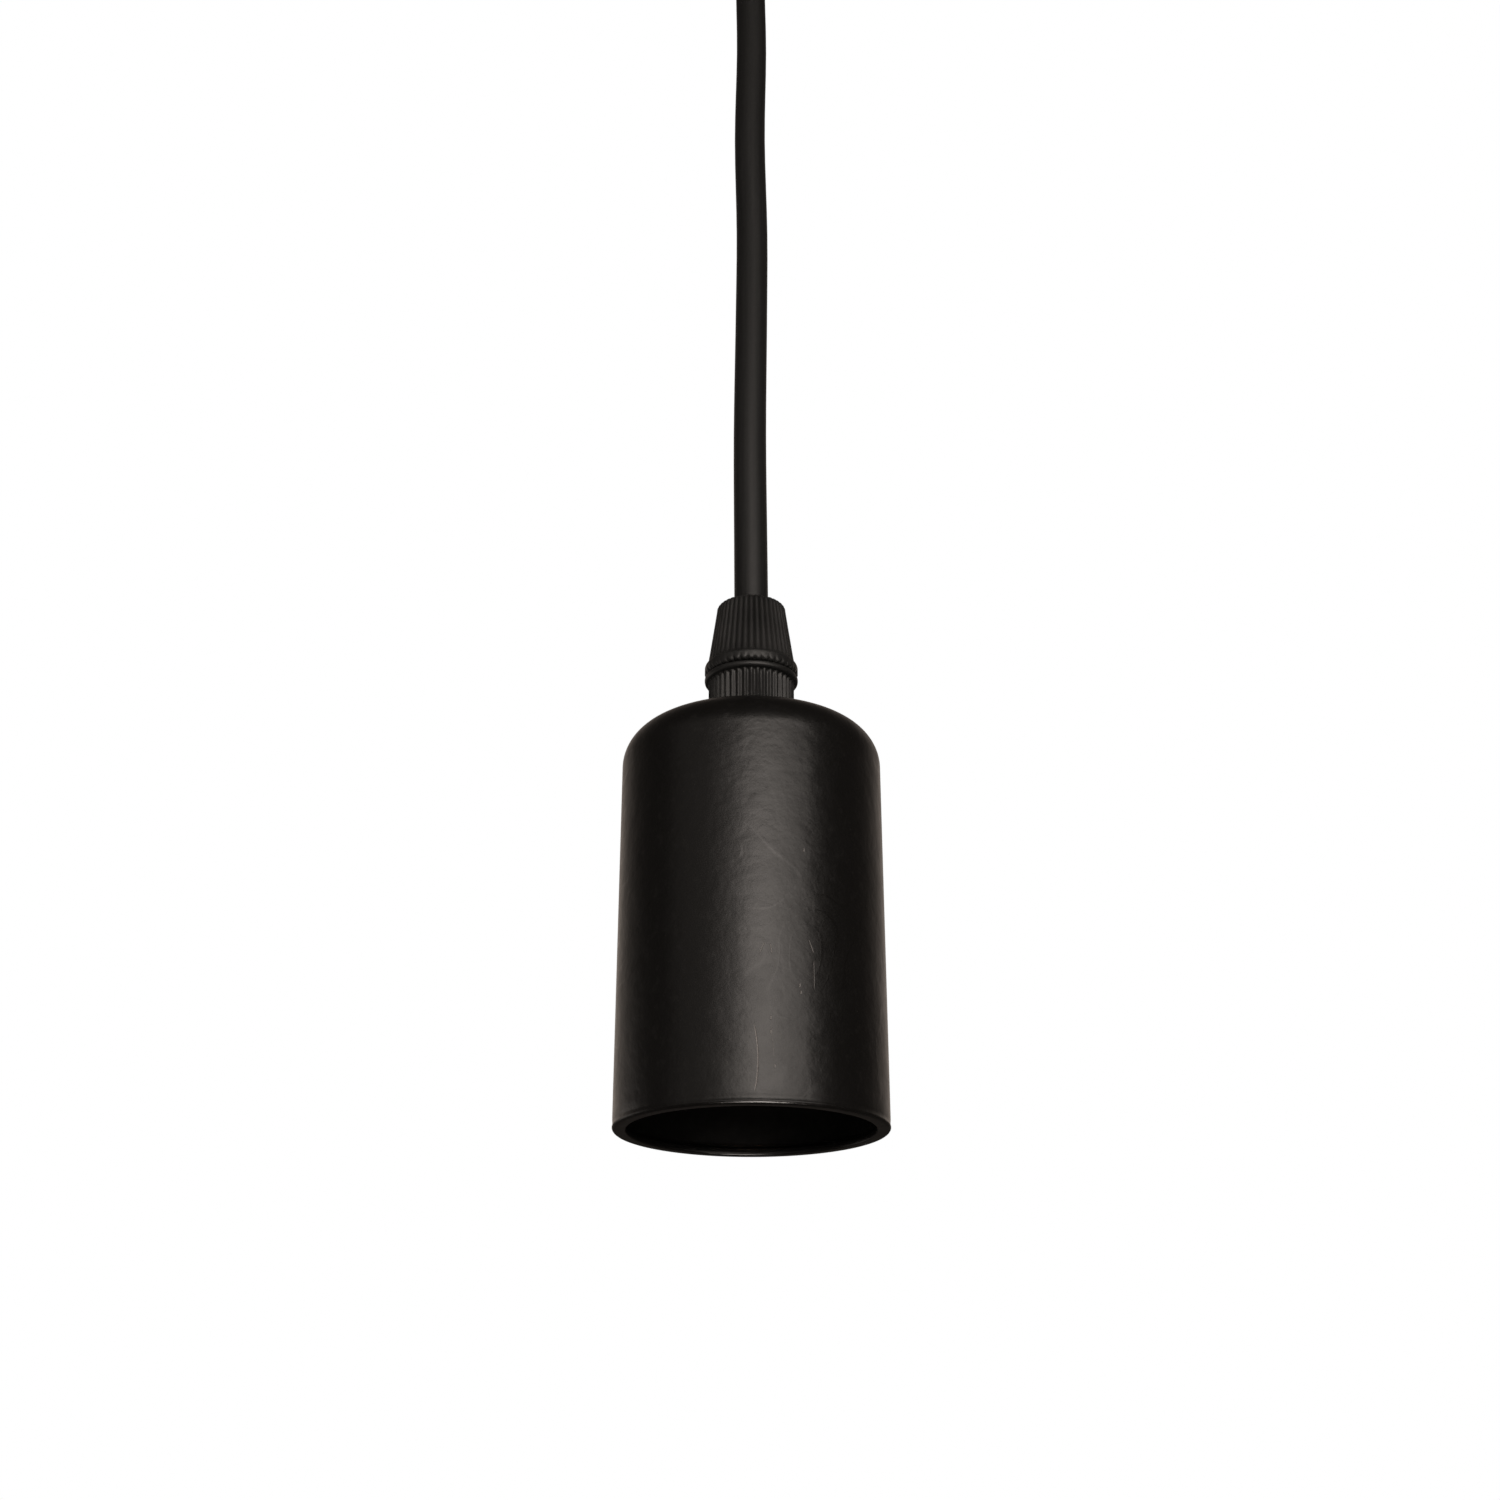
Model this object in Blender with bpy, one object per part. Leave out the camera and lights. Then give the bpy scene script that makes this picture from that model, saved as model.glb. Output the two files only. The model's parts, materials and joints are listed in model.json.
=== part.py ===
"""A pendant lamp socket: a black metal cup on a round cord, with a screw socket inside the cup
and a small rose that holds the cord's upper end at the ceiling.

Metres, +Z up. The origin lies on the flat top of the ceiling bracket, on the cord's axis.
Pieces of the rose hang from the empty "ceiling". Pieces of the socket hang from the empty "holder",
whose origin is the middle of the cup's mouth, so a holder height is a height above the mouth.
"""
import math

import bmesh
import bpy
from mathutils import Matrix, Vector

MM = 0.001

# Clearances
GAP = 0.3 * MM
BORE_CLEARANCE = 0.35 * MM

# Cord and its cores
CORD_RADIUS = 3.22 * MM
CORD_FREE_LENGTH = 176.6 * MM
CORD_JACKET_IN_HOLDER = 28.9 * MM
CORD_POINT_SPACING = 14.0 * MM
CORD_SWAY_IN_DEPTH = 0.4
CORE_RADIUS = 1.15 * MM
CORE_CIRCLE_RADIUS = 1.75 * MM
CORE_POINT_SPACING = 3.0 * MM
CORE_STRAIGHT_SHARE = 0.3

# Cup that covers the socket
CUP_RADIUS = 23.5 * MM
CUP_HEIGHT = 73.3 * MM
CUP_SHEET = 1.0 * MM
CUP_SHOULDER_RADIUS = 7.0 * MM
CUP_CROWN = 0.45 * MM
CUP_SEAT_MARGIN = 0.8 * MM
CUP_CURL_RADIUS = 1.12 * MM
CUP_CURL_PROUD = 0.12 * MM
CUP_STEPS = 36

# Fluted body of the cord grip
COLLAR_RADIUS = 7.95 * MM
COLLAR_LENGTH = 9.6 * MM
COLLAR_FLUTES = 44
COLLAR_FLUTE_DEPTH = 0.42 * MM
FLUTE_CREST_SHARE = 0.54
GRIP_STEPS = 32
FLANGE_RADIUS = 8.7 * MM
FLANGE_THICKNESS = 1.1 * MM
FLANGE_ROUNDING = 0.35 * MM
STEM_RADIUS = 4.9 * MM
STEM_LENGTH = 12.0 * MM
STEM_CHAMFER = 0.5 * MM
NECK_RADIUS = 5.5 * MM
NECK_LENGTH = 6.5 * MM
COLLET_LENGTH = 4.6 * MM
COLLET_WALL = 0.9 * MM
COLLET_SLITS = 3
COLLET_SLIT_WIDTH = 0.8 * MM

# Fluted nut of the cord grip
NUT_HEIGHT = 14.55 * MM
NUT_BASE_RADIUS = 8.2 * MM
NUT_TOP_RADIUS = 6.4 * MM
NUT_FLANGE_HEIGHT = 2.1 * MM
NUT_NOTCH_DEPTH = 0.5 * MM
NUT_FLUTES = 40
NUT_FLUTE_DEPTH = 0.38 * MM
NUT_SHOULDER = 0.8 * MM
NUT_ROOF = 1.3 * MM

# Fastening of the socket in the cup
TAG_THICKNESS = 0.8 * MM
TAG_RADIUS = 8.4 * MM
TAG_TONGUE_WIDTH = 5.0 * MM
TAG_TONGUE_REACH = 13.2 * MM
TAG_TONGUE_DROP = 5.6 * MM
LOCK_NUT_THICKNESS = 3.0 * MM
LOCK_NUT_ACROSS_FLATS = 14.0 * MM

# Moulded cap of the socket
CAP_NECK_RADIUS = 10.0 * MM
CAP_NECK_LENGTH = 5.0 * MM
CAP_DOME_HEIGHT = 6.2 * MM
CAP_BAND_HEIGHT = 3.8 * MM
CAP_SPIGOT_LENGTH = 6.5 * MM
CAP_SPIGOT_WALL = 2.4 * MM
CAP_CAVITY_SLOPE_DROP = 4.6 * MM
CAP_CORNER = 0.5 * MM
CAP_HOLE_ABOVE_BAND = 1.2 * MM
BUSH_WALL = 1.8 * MM
BUSH_LENGTH = 6.5 * MM
BUSH_SINK = 0.5 * MM
BUSH_FLANGE_RADIUS = 8.5 * MM
BUSH_FLANGE_THICKNESS = 1.0 * MM
GRUB_SCREW_RADIUS = 1.4 * MM
GRUB_SCREW_HEIGHT_BELOW_TOP = 2.9 * MM
GRUB_SLOT_WIDTH = 0.6 * MM
GRUB_SLOT_DEPTH = 0.9 * MM

# Moulded skirt of the socket
SKIRT_RADIUS = 19.5 * MM
SKIRT_WALL = 1.5 * MM
SKIRT_LOWER_RADIUS = 17.0 * MM
SKIRT_MOUTH_HEIGHT = 16.5 * MM
SKIRT_TAPER_HEIGHT = 3.5 * MM
SKIRT_LEDGE_THICKNESS = 2.4 * MM
SKIRT_LIP = 0.7 * MM
MOULDING_STEPS = 24

# Ceramic contact block
BLOCK_THICKNESS = 8.0 * MM
BLOCK_EDGE = 0.6 * MM

# Rolled screw shell
THREAD_MINOR_RADIUS = 12.25 * MM
THREAD_MAJOR_RADIUS = 13.3 * MM
THREAD_PITCH = 3.629 * MM
THREAD_TURNS = 4
THREAD_ROWS_PER_TURN = 5
SHELL_SHEET = 0.4 * MM
SHELL_LIP = 1.0 * MM
SHELL_FLANGE_MARGIN = 0.4 * MM
SHELL_STEPS = 24

# Contacts and terminals
TERMINAL_OFFSET = 8.0 * MM
TERMINAL_SIZE = Vector((6.0, 8.0, 6.0)) * MM
TERMINAL_BEVEL = 0.5 * MM
WIRE_HOLE_OFFSET = 1.9 * MM
WIRE_DEPTH = 4.2 * MM
TERMINAL_SCREW_RADIUS = 1.2 * MM
TERMINAL_SCREW_HEAD_RADIUS = 2.2 * MM
TERMINAL_SCREW_HEAD_HEIGHT = 1.4 * MM
SCREW_SLOT_WIDTH = 0.5 * MM
SCREW_SLOT_DEPTH = 0.6 * MM
RIVET_RADIUS = 1.1 * MM
RIVET_HEAD_RADIUS = 2.0 * MM
RIVET_HEAD_HEIGHT = 0.9 * MM
RIVET_IN_TERMINAL = 1.1 * MM
RIVET_OFFSET_Y = 1.6 * MM
CONTACT_SHEET = 0.5 * MM
CONTACT_WIDTH = 5.6 * MM
CONTACT_REACH = 3.4 * MM
CONTACT_DROP = 3.2 * MM
CONTACT_TAIL = 2.8 * MM
SHELL_CONTACT_WIDTH = 4.0 * MM
SHELL_CONTACT_MARGIN = 2.1 * MM

# Ceiling rose
ROSE_RADIUS = 38.0 * MM
ROSE_DEPTH = 25.0 * MM
ROSE_SHEET = 1.0 * MM
ROSE_CORNER_RADIUS = 4.0 * MM
ROSE_STEPS = 28
ROSE_GRIP_RADIUS = 7.0 * MM
ROSE_GRIP_LENGTH = 16.0 * MM
ROSE_GRIP_STEM_LENGTH = 11.0 * MM
ROSE_GRIP_CHAMFER = 1.0 * MM
ROSE_GRIP_SCREW_RADIUS = 2.0 * MM
ROSE_GRIP_SCREW_DROP = 7.5 * MM
ROSE_GRIP_SCREW_PROUD = 0.6 * MM
ROSE_JACKET_ABOVE_STEM = 1.2 * MM
BRACKET_SHEET = 1.5 * MM
BRACKET_WIDTH = 16.0 * MM
BRACKET_EAR_DROP = 12.0 * MM
BRACKET_TAB_WIDTH = 12.0 * MM
BRACKET_TAB_REACH = 27.0 * MM
BRACKET_SLOT_RADIUS = 2.3 * MM
BRACKET_SLOT_LENGTH = 10.0 * MM
BRACKET_SLOT_OFFSET = 20.0 * MM
ROSE_SCREW_RADIUS = 2.0 * MM
ROSE_SCREW_HEAD_RADIUS = 3.6 * MM
ROSE_SCREW_HEAD_HEIGHT = 2.0 * MM
ROSE_SCREW_HEIGHT = 7.0 * MM
ROSE_SCREW_PAST_EAR = 2.5 * MM

# Terminal strip in the rose
STRIP_WAYS = 3
STRIP_PITCH = 8.0 * MM
STRIP_WIDTH = 16.0 * MM
STRIP_THICKNESS = 10.0 * MM
STRIP_OFFSET = 19.5 * MM
STRIP_BEVEL = 0.6 * MM
SLEEVE_RADIUS = 2.0 * MM
SLEEVE_LENGTH = 13.0 * MM
STRIP_SCREW_RADIUS = 1.2 * MM
STRIP_SCREW_OFFSET = 4.2 * MM
STRIP_SCREW_SINK = 0.8 * MM
STRIP_FIXING_RADIUS = 1.0 * MM
STRIP_FIXING_HEAD_RADIUS = 2.0 * MM
STRIP_FIXING_HEAD_HEIGHT = 1.2 * MM

# Levels of the rose and the cord, down from the ceiling
ROSE_GRIP_TOP_Z = -ROSE_DEPTH - GAP
ROSE_GRIP_BOTTOM_Z = ROSE_GRIP_TOP_Z - ROSE_GRIP_LENGTH
ROSE_STEM_TOP_Z = ROSE_GRIP_TOP_Z + ROSE_GRIP_STEM_LENGTH
JACKET_TOP_Z = ROSE_STEM_TOP_Z + ROSE_JACKET_ABOVE_STEM
NUT_TOP_Z = ROSE_GRIP_BOTTOM_Z - CORD_FREE_LENGTH

# Heights of the socket, above the cup's mouth
BODY_FOOT = CUP_HEIGHT + GAP
FLANGE_BOTTOM = BODY_FOOT + COLLAR_LENGTH
FLANGE_TOP = FLANGE_BOTTOM + FLANGE_THICKNESS
NUT_BOTTOM = FLANGE_TOP + GAP
NUT_TOP = NUT_BOTTOM + NUT_HEIGHT
TAG_TOP = CUP_HEIGHT - CUP_SHEET - GAP
LOCK_NUT_TOP = TAG_TOP - TAG_THICKNESS - GAP
CAP_TOP = LOCK_NUT_TOP - LOCK_NUT_THICKNESS - GAP
NECK_FOOT = CAP_TOP - CAP_NECK_LENGTH
BAND_TOP = NECK_FOOT - CAP_DOME_HEIGHT
BAND_BOTTOM = BAND_TOP - CAP_BAND_HEIGHT
SPIGOT_BOTTOM = BAND_BOTTOM - CAP_SPIGOT_LENGTH
BUSH_TOP = CAP_TOP - BUSH_SINK
BUSH_BOTTOM = BUSH_TOP - BUSH_LENGTH
BUSH_SEAT = BUSH_BOTTOM + BUSH_FLANGE_THICKNESS + GAP
STEM_BOTTOM = BODY_FOOT - STEM_LENGTH
SKIRT_TOP = BAND_BOTTOM - GAP
BLOCK_TOP = SPIGOT_BOTTOM - GAP
BLOCK_BOTTOM = BLOCK_TOP - BLOCK_THICKNESS
SHELL_TOP = BLOCK_BOTTOM - GAP
LEDGE_TOP = SHELL_TOP - SHELL_SHEET - GAP
JACKET_BOTTOM = NUT_TOP - CORD_JACKET_IN_HOLDER
HOLDER_Z = NUT_TOP_Z - NUT_TOP

# Radii that follow their neighbours
CORD_BORE = CORD_RADIUS + BORE_CLEARANCE
STEM_BORE = STEM_RADIUS + GAP
SPIGOT_RADIUS = SKIRT_RADIUS - SKIRT_WALL - GAP
CAVITY_RADIUS = SPIGOT_RADIUS - CAP_SPIGOT_WALL
SHELL_FLANGE_RADIUS = SPIGOT_RADIUS - SHELL_FLANGE_MARGIN
SKIRT_BORE = THREAD_MAJOR_RADIUS + SHELL_SHEET + GAP
BUSH_RADIUS = STEM_BORE + BUSH_WALL
SHELL_CONTACT_X = CAVITY_RADIUS - SHELL_CONTACT_MARGIN + CONTACT_SHEET / 2
NEUTRAL_LIFT = CONTACT_SHEET + GAP


def clear_scene():
    for old in list(bpy.data.objects):
        bpy.data.objects.remove(old, do_unlink=True)


def make_material(name, colour, roughness, metallic=0.0):
    material = bpy.data.materials.new(name)
    material.use_nodes = True
    shader = material.node_tree.nodes["Principled BSDF"]
    shader.inputs["Base Color"].default_value = (*colour, 1.0)
    shader.inputs["Roughness"].default_value = roughness
    shader.inputs["Metallic"].default_value = metallic
    material.diffuse_color = (*colour, 1.0)
    return material


def make_empty(name, height):
    empty = bpy.data.objects.new(name, None)
    empty.location.z = height
    empty.empty_display_size = 0.01
    bpy.context.scene.collection.objects.link(empty)
    return empty


def add_object(name, data, parent, material, location=(0, 0, 0), rotation=(0, 0, 0)):
    thing = bpy.data.objects.new(name, data)
    thing.location = location
    thing.rotation_euler = rotation
    thing.parent = parent
    if material:
        data.materials.append(material)
    bpy.context.scene.collection.objects.link(thing)
    return thing


def solid(shape, name, parent, material, location=(0, 0, 0), rotation=(0, 0, 0), sharp=35):
    """Turn a bmesh into a smooth-shaded object whose edges past the sharp angle stay crisp."""
    bmesh.ops.recalc_face_normals(shape, faces=shape.faces)
    mesh = bpy.data.meshes.new(name)
    shape.to_mesh(mesh)
    shape.free()
    mesh.shade_smooth()
    mesh.set_sharp_from_angle(angle=math.radians(sharp))
    return add_object(name, mesh, parent, material, location, rotation)


def combine(target, shape, operation="DIFFERENCE"):
    """Cut a shape out of the target, or weld it on, both given in the target's own frame."""
    name = f"{target.name}_{operation.lower()}_{len(target.modifiers)}"
    tool = solid(shape, name, target, None)
    tool.display_type = "WIRE"
    tool.hide_render = True
    modifier = target.modifiers.new(name, "BOOLEAN")
    modifier.operation = operation
    modifier.solver = "EXACT"
    modifier.object = tool
    return target


def arc(centre_r, centre_z, radius, start, end, pieces):
    """Points of an arc in the radius and height plane, with angles in degrees."""
    points = []
    for index in range(pieces + 1):
        angle = math.radians(start + (end - start) * index / pieces)
        points.append((centre_r + radius * math.cos(angle), centre_z + radius * math.sin(angle)))
    return points


def turned(outline, steps):
    """Spin a closed outline of radius and height about Z."""
    shape = bmesh.new()
    corners = [shape.verts.new((r, 0, z)) for r, z in outline]
    edges = []
    for first, second in zip(corners, corners[1:] + corners[:1]):
        if first.co.x > 0 or second.co.x > 0:
            edges.append(shape.edges.new((first, second)))
    bmesh.ops.spin(shape, geom=corners + edges, cent=(0, 0, 0), axis=(0, 0, 1),
                   angle=math.tau, steps=steps, use_merge=True)
    bmesh.ops.remove_doubles(shape, verts=shape.verts, dist=1e-7)
    return shape


def fluted(levels, count):
    """Stack rings of grooved outline. A level is its crest radius, height and groove depth."""
    shape = bmesh.new()
    rings = []
    for radius, height, depth in levels:
        ring = []
        for flute in range(count):
            crest = FLUTE_CREST_SHARE / 2
            for place, reach in ((-crest, radius), (crest, radius), (0.5, radius - depth)):
                angle = math.tau * (flute + place) / count
                ring.append(shape.verts.new((reach * math.cos(angle), reach * math.sin(angle), height)))
        rings.append(ring)
    for lower, upper in zip(rings, rings[1:]):
        for index in range(len(lower)):
            after = (index + 1) % len(lower)
            shape.faces.new((lower[index], lower[after], upper[after], upper[index]))
    shape.faces.new(rings[0][::-1])
    shape.faces.new(rings[-1])
    return shape


def add_rod(shape, start, end, radius, steps=16):
    """Add a round rod between two points."""
    start = Vector(start)
    end = Vector(end)
    turn = (end - start).to_track_quat("Z", "Y").to_matrix().to_4x4()
    bmesh.ops.create_cone(shape, cap_ends=True, segments=steps, radius1=radius, radius2=radius,
                          depth=(end - start).length,
                          matrix=Matrix.Translation((start + end) / 2) @ turn)
    return shape


def add_box(shape, low, high):
    """Add a box between its lowest and highest corners."""
    low = Vector(low)
    high = Vector(high)
    size = Matrix.Diagonal((*(high - low), 1.0))
    bmesh.ops.create_cube(shape, size=1.0, matrix=Matrix.Translation((low + high) / 2) @ size)
    return shape


def bevelled_box(low, high, width):
    shape = add_box(bmesh.new(), low, high)
    bmesh.ops.bevel(shape, geom=shape.edges[:], offset=width, segments=1, affect="EDGES")
    return shape


def prism(outline, low, high):
    """Extrude a flat outline of x and y upwards from one height to another."""
    shape = bmesh.new()
    face = shape.faces.new([shape.verts.new((x, y, low)) for x, y in outline])
    grown = bmesh.ops.extrude_face_region(shape, geom=[face])["geom"]
    raised = [item for item in grown if isinstance(item, bmesh.types.BMVert)]
    bmesh.ops.translate(shape, verts=raised, vec=(0, 0, high - low))
    return shape


def bent_strip(path, width, thickness):
    """Thicken a bent path of x and z into a sheet that is as wide as asked along Y."""
    points = [Vector((x, z)) for x, z in path]
    sides = []
    for index, point in enumerate(points):
        before = (point - points[index - 1]).normalized() if index else None
        after = (points[index + 1] - point).normalized() if index < len(points) - 1 else None
        first = before or after
        second = after or before
        normal = Vector((-first.y - second.y, first.x + second.x)).normalized()
        reach = thickness / 2 / normal.dot(Vector((-first.y, first.x)))
        sides.append((point + normal * reach, point - normal * reach))
    outline = [side[0] for side in sides] + [side[1] for side in reversed(sides)]
    shape = bmesh.new()
    face = shape.faces.new([shape.verts.new((p.x, -width / 2, p.y)) for p in outline])
    grown = bmesh.ops.extrude_face_region(shape, geom=[face])["geom"]
    moved = [item for item in grown if isinstance(item, bmesh.types.BMVert)]
    bmesh.ops.translate(shape, verts=moved, vec=(0, width, 0))
    return shape


def smooth_route(points, spacing):
    """Read evenly spread points from the smooth curve through the route's own points."""
    points = [Vector(point) for point in points]
    ends = [points[0] * 2 - points[1]] + points + [points[-1] * 2 - points[-2]]
    fine = []
    pieces = 12
    for a, b, c, d in zip(ends, ends[1:], ends[2:], ends[3:]):
        for index in range(pieces):
            t = index / pieces
            fine.append(0.5 * ((2 * b) + (c - a) * t + (2 * a - 5 * b + 4 * c - d) * t ** 2
                               + (3 * b - a - 3 * c + d) * t ** 3))
    fine.append(points[-1])
    lengths = [0.0]
    for first, second in zip(fine, fine[1:]):
        lengths.append(lengths[-1] + (second - first).length)
    count = max(2, round(lengths[-1] / spacing))
    route = []
    place = 0
    for index in range(count + 1):
        wanted = lengths[-1] * index / count
        while place < len(fine) - 2 and lengths[place + 1] < wanted:
            place += 1
        share = (wanted - lengths[place]) / (lengths[place + 1] - lengths[place])
        route.append(fine[place].lerp(fine[place + 1], min(1.0, share)))
    return route


def tube(name, points, radius, spacing, parent, material, resolution=2):
    """Lay a round cord along a smooth route, closed at both ends."""
    route = smooth_route(points, spacing)
    curve = bpy.data.curves.new(name, "CURVE")
    curve.dimensions = "3D"
    curve.bevel_depth = radius
    curve.bevel_resolution = resolution
    curve.use_fill_caps = True
    spline = curve.splines.new("POLY")
    spline.points.add(len(route) - 1)
    for place, point in zip(spline.points, route):
        place.co = (*point, 1.0)
    return add_object(name, curve, parent, material)


def slotted_screw(name, parent, material, location, rotation, shank, head, slot):
    """A screw along Z: shank (radius, length) below the origin, head (radius, height) above it."""
    shank_radius, shank_length = shank
    head_radius, head_height = head
    slot_width, slot_depth = slot
    rounding = head_height / 3
    outline = [(0, -shank_length), (shank_radius, -shank_length), (shank_radius, 0), (head_radius, 0),
               (head_radius, head_height - rounding), (head_radius - rounding, head_height),
               (0, head_height)]
    screw = solid(turned(outline, 12), name, parent, material, location, rotation)
    reach = head_radius + GAP
    slot_box = add_box(bmesh.new(), (-reach, -slot_width / 2, head_height - slot_depth),
                       (reach, slot_width / 2, head_height + GAP))
    return combine(screw, slot_box)


def make_cup(holder, paint):
    """A drawn steel cup with a rounded shoulder, whose mouth is curled inwards."""
    seat = COLLAR_RADIUS + CUP_SEAT_MARGIN
    shoulder_r = CUP_RADIUS - CUP_SHOULDER_RADIUS
    shoulder_z = CUP_HEIGHT - CUP_CROWN - CUP_SHOULDER_RADIUS
    hole = STEM_RADIUS + GAP
    curl_r = CUP_RADIUS + CUP_CURL_PROUD - CUP_CURL_RADIUS
    outside = [(hole, CUP_HEIGHT), (seat, CUP_HEIGHT)]
    outside += arc(shoulder_r, shoulder_z, CUP_SHOULDER_RADIUS, 90, 0, 7)
    outside.append((CUP_RADIUS, 2 * CUP_CURL_RADIUS))
    curl = arc(curl_r, CUP_CURL_RADIUS, CUP_CURL_RADIUS, 30, -210, 8)
    inside_radius = CUP_SHOULDER_RADIUS - CUP_SHEET
    inside = [(CUP_RADIUS - CUP_SHEET, 2 * CUP_CURL_RADIUS)]
    inside += arc(shoulder_r, shoulder_z, inside_radius, 0, 90, 4)
    inside += [(seat, CUP_HEIGHT - CUP_SHEET), (hole, CUP_HEIGHT - CUP_SHEET)]
    return solid(turned(outside + curl + inside, CUP_STEPS), "outer_cup", holder, paint)


def make_grip_body(holder, nylon):
    """The grip's body: threaded stem, fluted collar, flange, neck and slit collet."""
    neck_top = FLANGE_TOP + NECK_LENGTH
    collet_top = neck_top + COLLET_LENGTH
    core = COLLAR_RADIUS - 2 * COLLAR_FLUTE_DEPTH
    edge = FLANGE_ROUNDING
    outline = [(CORD_BORE, STEM_BOTTOM), (STEM_RADIUS - STEM_CHAMFER, STEM_BOTTOM),
               (STEM_RADIUS, STEM_BOTTOM + STEM_CHAMFER), (STEM_RADIUS, BODY_FOOT),
               (core, BODY_FOOT), (core, FLANGE_BOTTOM)]
    outline += arc(FLANGE_RADIUS - edge, FLANGE_BOTTOM + edge, edge, -90, 0, 1)
    outline += arc(FLANGE_RADIUS - edge, FLANGE_TOP - edge, edge, 0, 90, 1)
    outline += [(NECK_RADIUS, FLANGE_TOP), (NECK_RADIUS, neck_top),
                (CORD_BORE + COLLET_WALL, collet_top), (CORD_BORE, collet_top)]
    body = solid(turned(outline, GRIP_STEPS), "grip_body", holder, nylon)
    collar = fluted([(COLLAR_RADIUS, BODY_FOOT, COLLAR_FLUTE_DEPTH),
                     (COLLAR_RADIUS, FLANGE_BOTTOM + edge, COLLAR_FLUTE_DEPTH)], COLLAR_FLUTES)
    ring_hole = turned([(core - edge, BODY_FOOT - GAP), (core - edge, FLANGE_TOP + GAP),
                        (0, FLANGE_TOP + GAP), (0, BODY_FOOT - GAP)], GRIP_STEPS)
    sleeve = combine(solid(collar, "collar_sleeve", body, None), ring_hole)
    sleeve.display_type = "WIRE"
    sleeve.hide_render = True
    weld = body.modifiers.new("weld_collar", "BOOLEAN")
    weld.operation = "UNION"
    weld.solver = "EXACT"
    weld.object = sleeve
    for index in range(COLLET_SLITS):
        slit = add_box(bmesh.new(), (-NECK_RADIUS - GAP, -COLLET_SLIT_WIDTH / 2, neck_top),
                       (NECK_RADIUS + GAP, COLLET_SLIT_WIDTH / 2, collet_top + GAP))
        slit.transform(Matrix.Rotation(math.pi * index / COLLET_SLITS, 4, "Z"))
        combine(body, slit)
    return body


def make_grip_nut(holder, nylon):
    """The clamping nut: a fluted cone on a plain flange with a notched lower edge."""
    slope = (NUT_BASE_RADIUS - NUT_TOP_RADIUS) / (NUT_HEIGHT - NUT_FLANGE_HEIGHT)
    flange_top = NUT_BOTTOM + NUT_FLANGE_HEIGHT
    edge = FLANGE_ROUNDING
    run_out = flange_top + NUT_NOTCH_DEPTH
    shoulder = NUT_TOP - NUT_SHOULDER
    levels = [(FLANGE_RADIUS - edge, NUT_BOTTOM, NUT_NOTCH_DEPTH),
              (FLANGE_RADIUS, NUT_BOTTOM + NUT_NOTCH_DEPTH, 0.0),
              (FLANGE_RADIUS, flange_top - edge, 0.0),
              (NUT_BASE_RADIUS, flange_top, 0.0),
              (NUT_BASE_RADIUS - slope * NUT_NOTCH_DEPTH, run_out, NUT_FLUTE_DEPTH)]
    for angle in (0, 45, 90):
        turn = math.radians(angle)
        level_radius = NUT_TOP_RADIUS + slope * NUT_SHOULDER - NUT_SHOULDER * (1 - math.cos(turn))
        levels.append((level_radius, shoulder + NUT_SHOULDER * math.sin(turn), NUT_FLUTE_DEPTH))
    nut = solid(fluted(levels, NUT_FLUTES), "grip_nut", holder, nylon)
    neck_top = FLANGE_TOP + NECK_LENGTH
    collet_top = neck_top + COLLET_LENGTH
    throat = CORD_BORE + COLLET_WALL + GAP
    thread = NECK_RADIUS + GAP
    roof = max(NUT_TOP - NUT_ROOF, collet_top + GAP)
    cavity = [(0, NUT_BOTTOM - GAP), (thread, NUT_BOTTOM - GAP), (thread, neck_top + GAP),
              (throat, collet_top + GAP), (throat, roof), (CORD_BORE, roof),
              (CORD_BORE, NUT_TOP + GAP), (0, NUT_TOP + GAP)]
    if roof - collet_top - GAP < 0.01 * MM:
        cavity.pop(4)
    return combine(nut, turned(cavity, 24))


def hexagon(across_flats):
    reach = across_flats / math.sqrt(3)
    return [(reach * math.cos(math.tau * i / 6), reach * math.sin(math.tau * i / 6)) for i in range(6)]


def make_hex_nut(name, parent, metal, top):
    """A thin hexagon nut on the grip's stem, with its top at the height given."""
    bottom = top - LOCK_NUT_THICKNESS
    nut = solid(prism(hexagon(LOCK_NUT_ACROSS_FLATS), bottom, top), name, parent, metal)
    return combine(nut, add_rod(bmesh.new(), (0, 0, bottom - GAP), (0, 0, top + GAP), STEM_BORE, 16))


def make_earth_tag(holder, metal):
    """A washer under the cup's top, with a tongue bent down and drilled for the earth core."""
    bottom = TAG_TOP - TAG_THICKNESS
    middle = TAG_TOP - TAG_THICKNESS / 2
    washer = [(STEM_BORE, bottom), (TAG_RADIUS, bottom), (TAG_RADIUS, TAG_TOP), (STEM_BORE, TAG_TOP)]
    tag = solid(turned(washer, 20), "earth_tag", holder, metal)
    reach = TAG_TONGUE_REACH
    tongue = bent_strip([((STEM_BORE + TAG_RADIUS) / 2, middle), (reach - TAG_THICKNESS, middle),
                         (reach, middle - TAG_THICKNESS), (reach, middle - TAG_TONGUE_DROP)],
                        TAG_TONGUE_WIDTH, TAG_THICKNESS)
    tongue.transform(Matrix.Rotation(math.pi / 2, 4, "Z"))
    combine(tag, tongue, "UNION")
    height = earth_height()
    hole = add_rod(bmesh.new(), (0, reach - 2 * TAG_THICKNESS, height),
                   (0, reach + 2 * TAG_THICKNESS, height), CORE_RADIUS + BORE_CLEARANCE)
    return combine(tag, hole)


def earth_height():
    return TAG_TOP - TAG_THICKNESS / 2 - TAG_TONGUE_DROP + 2 * CORE_RADIUS


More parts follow.
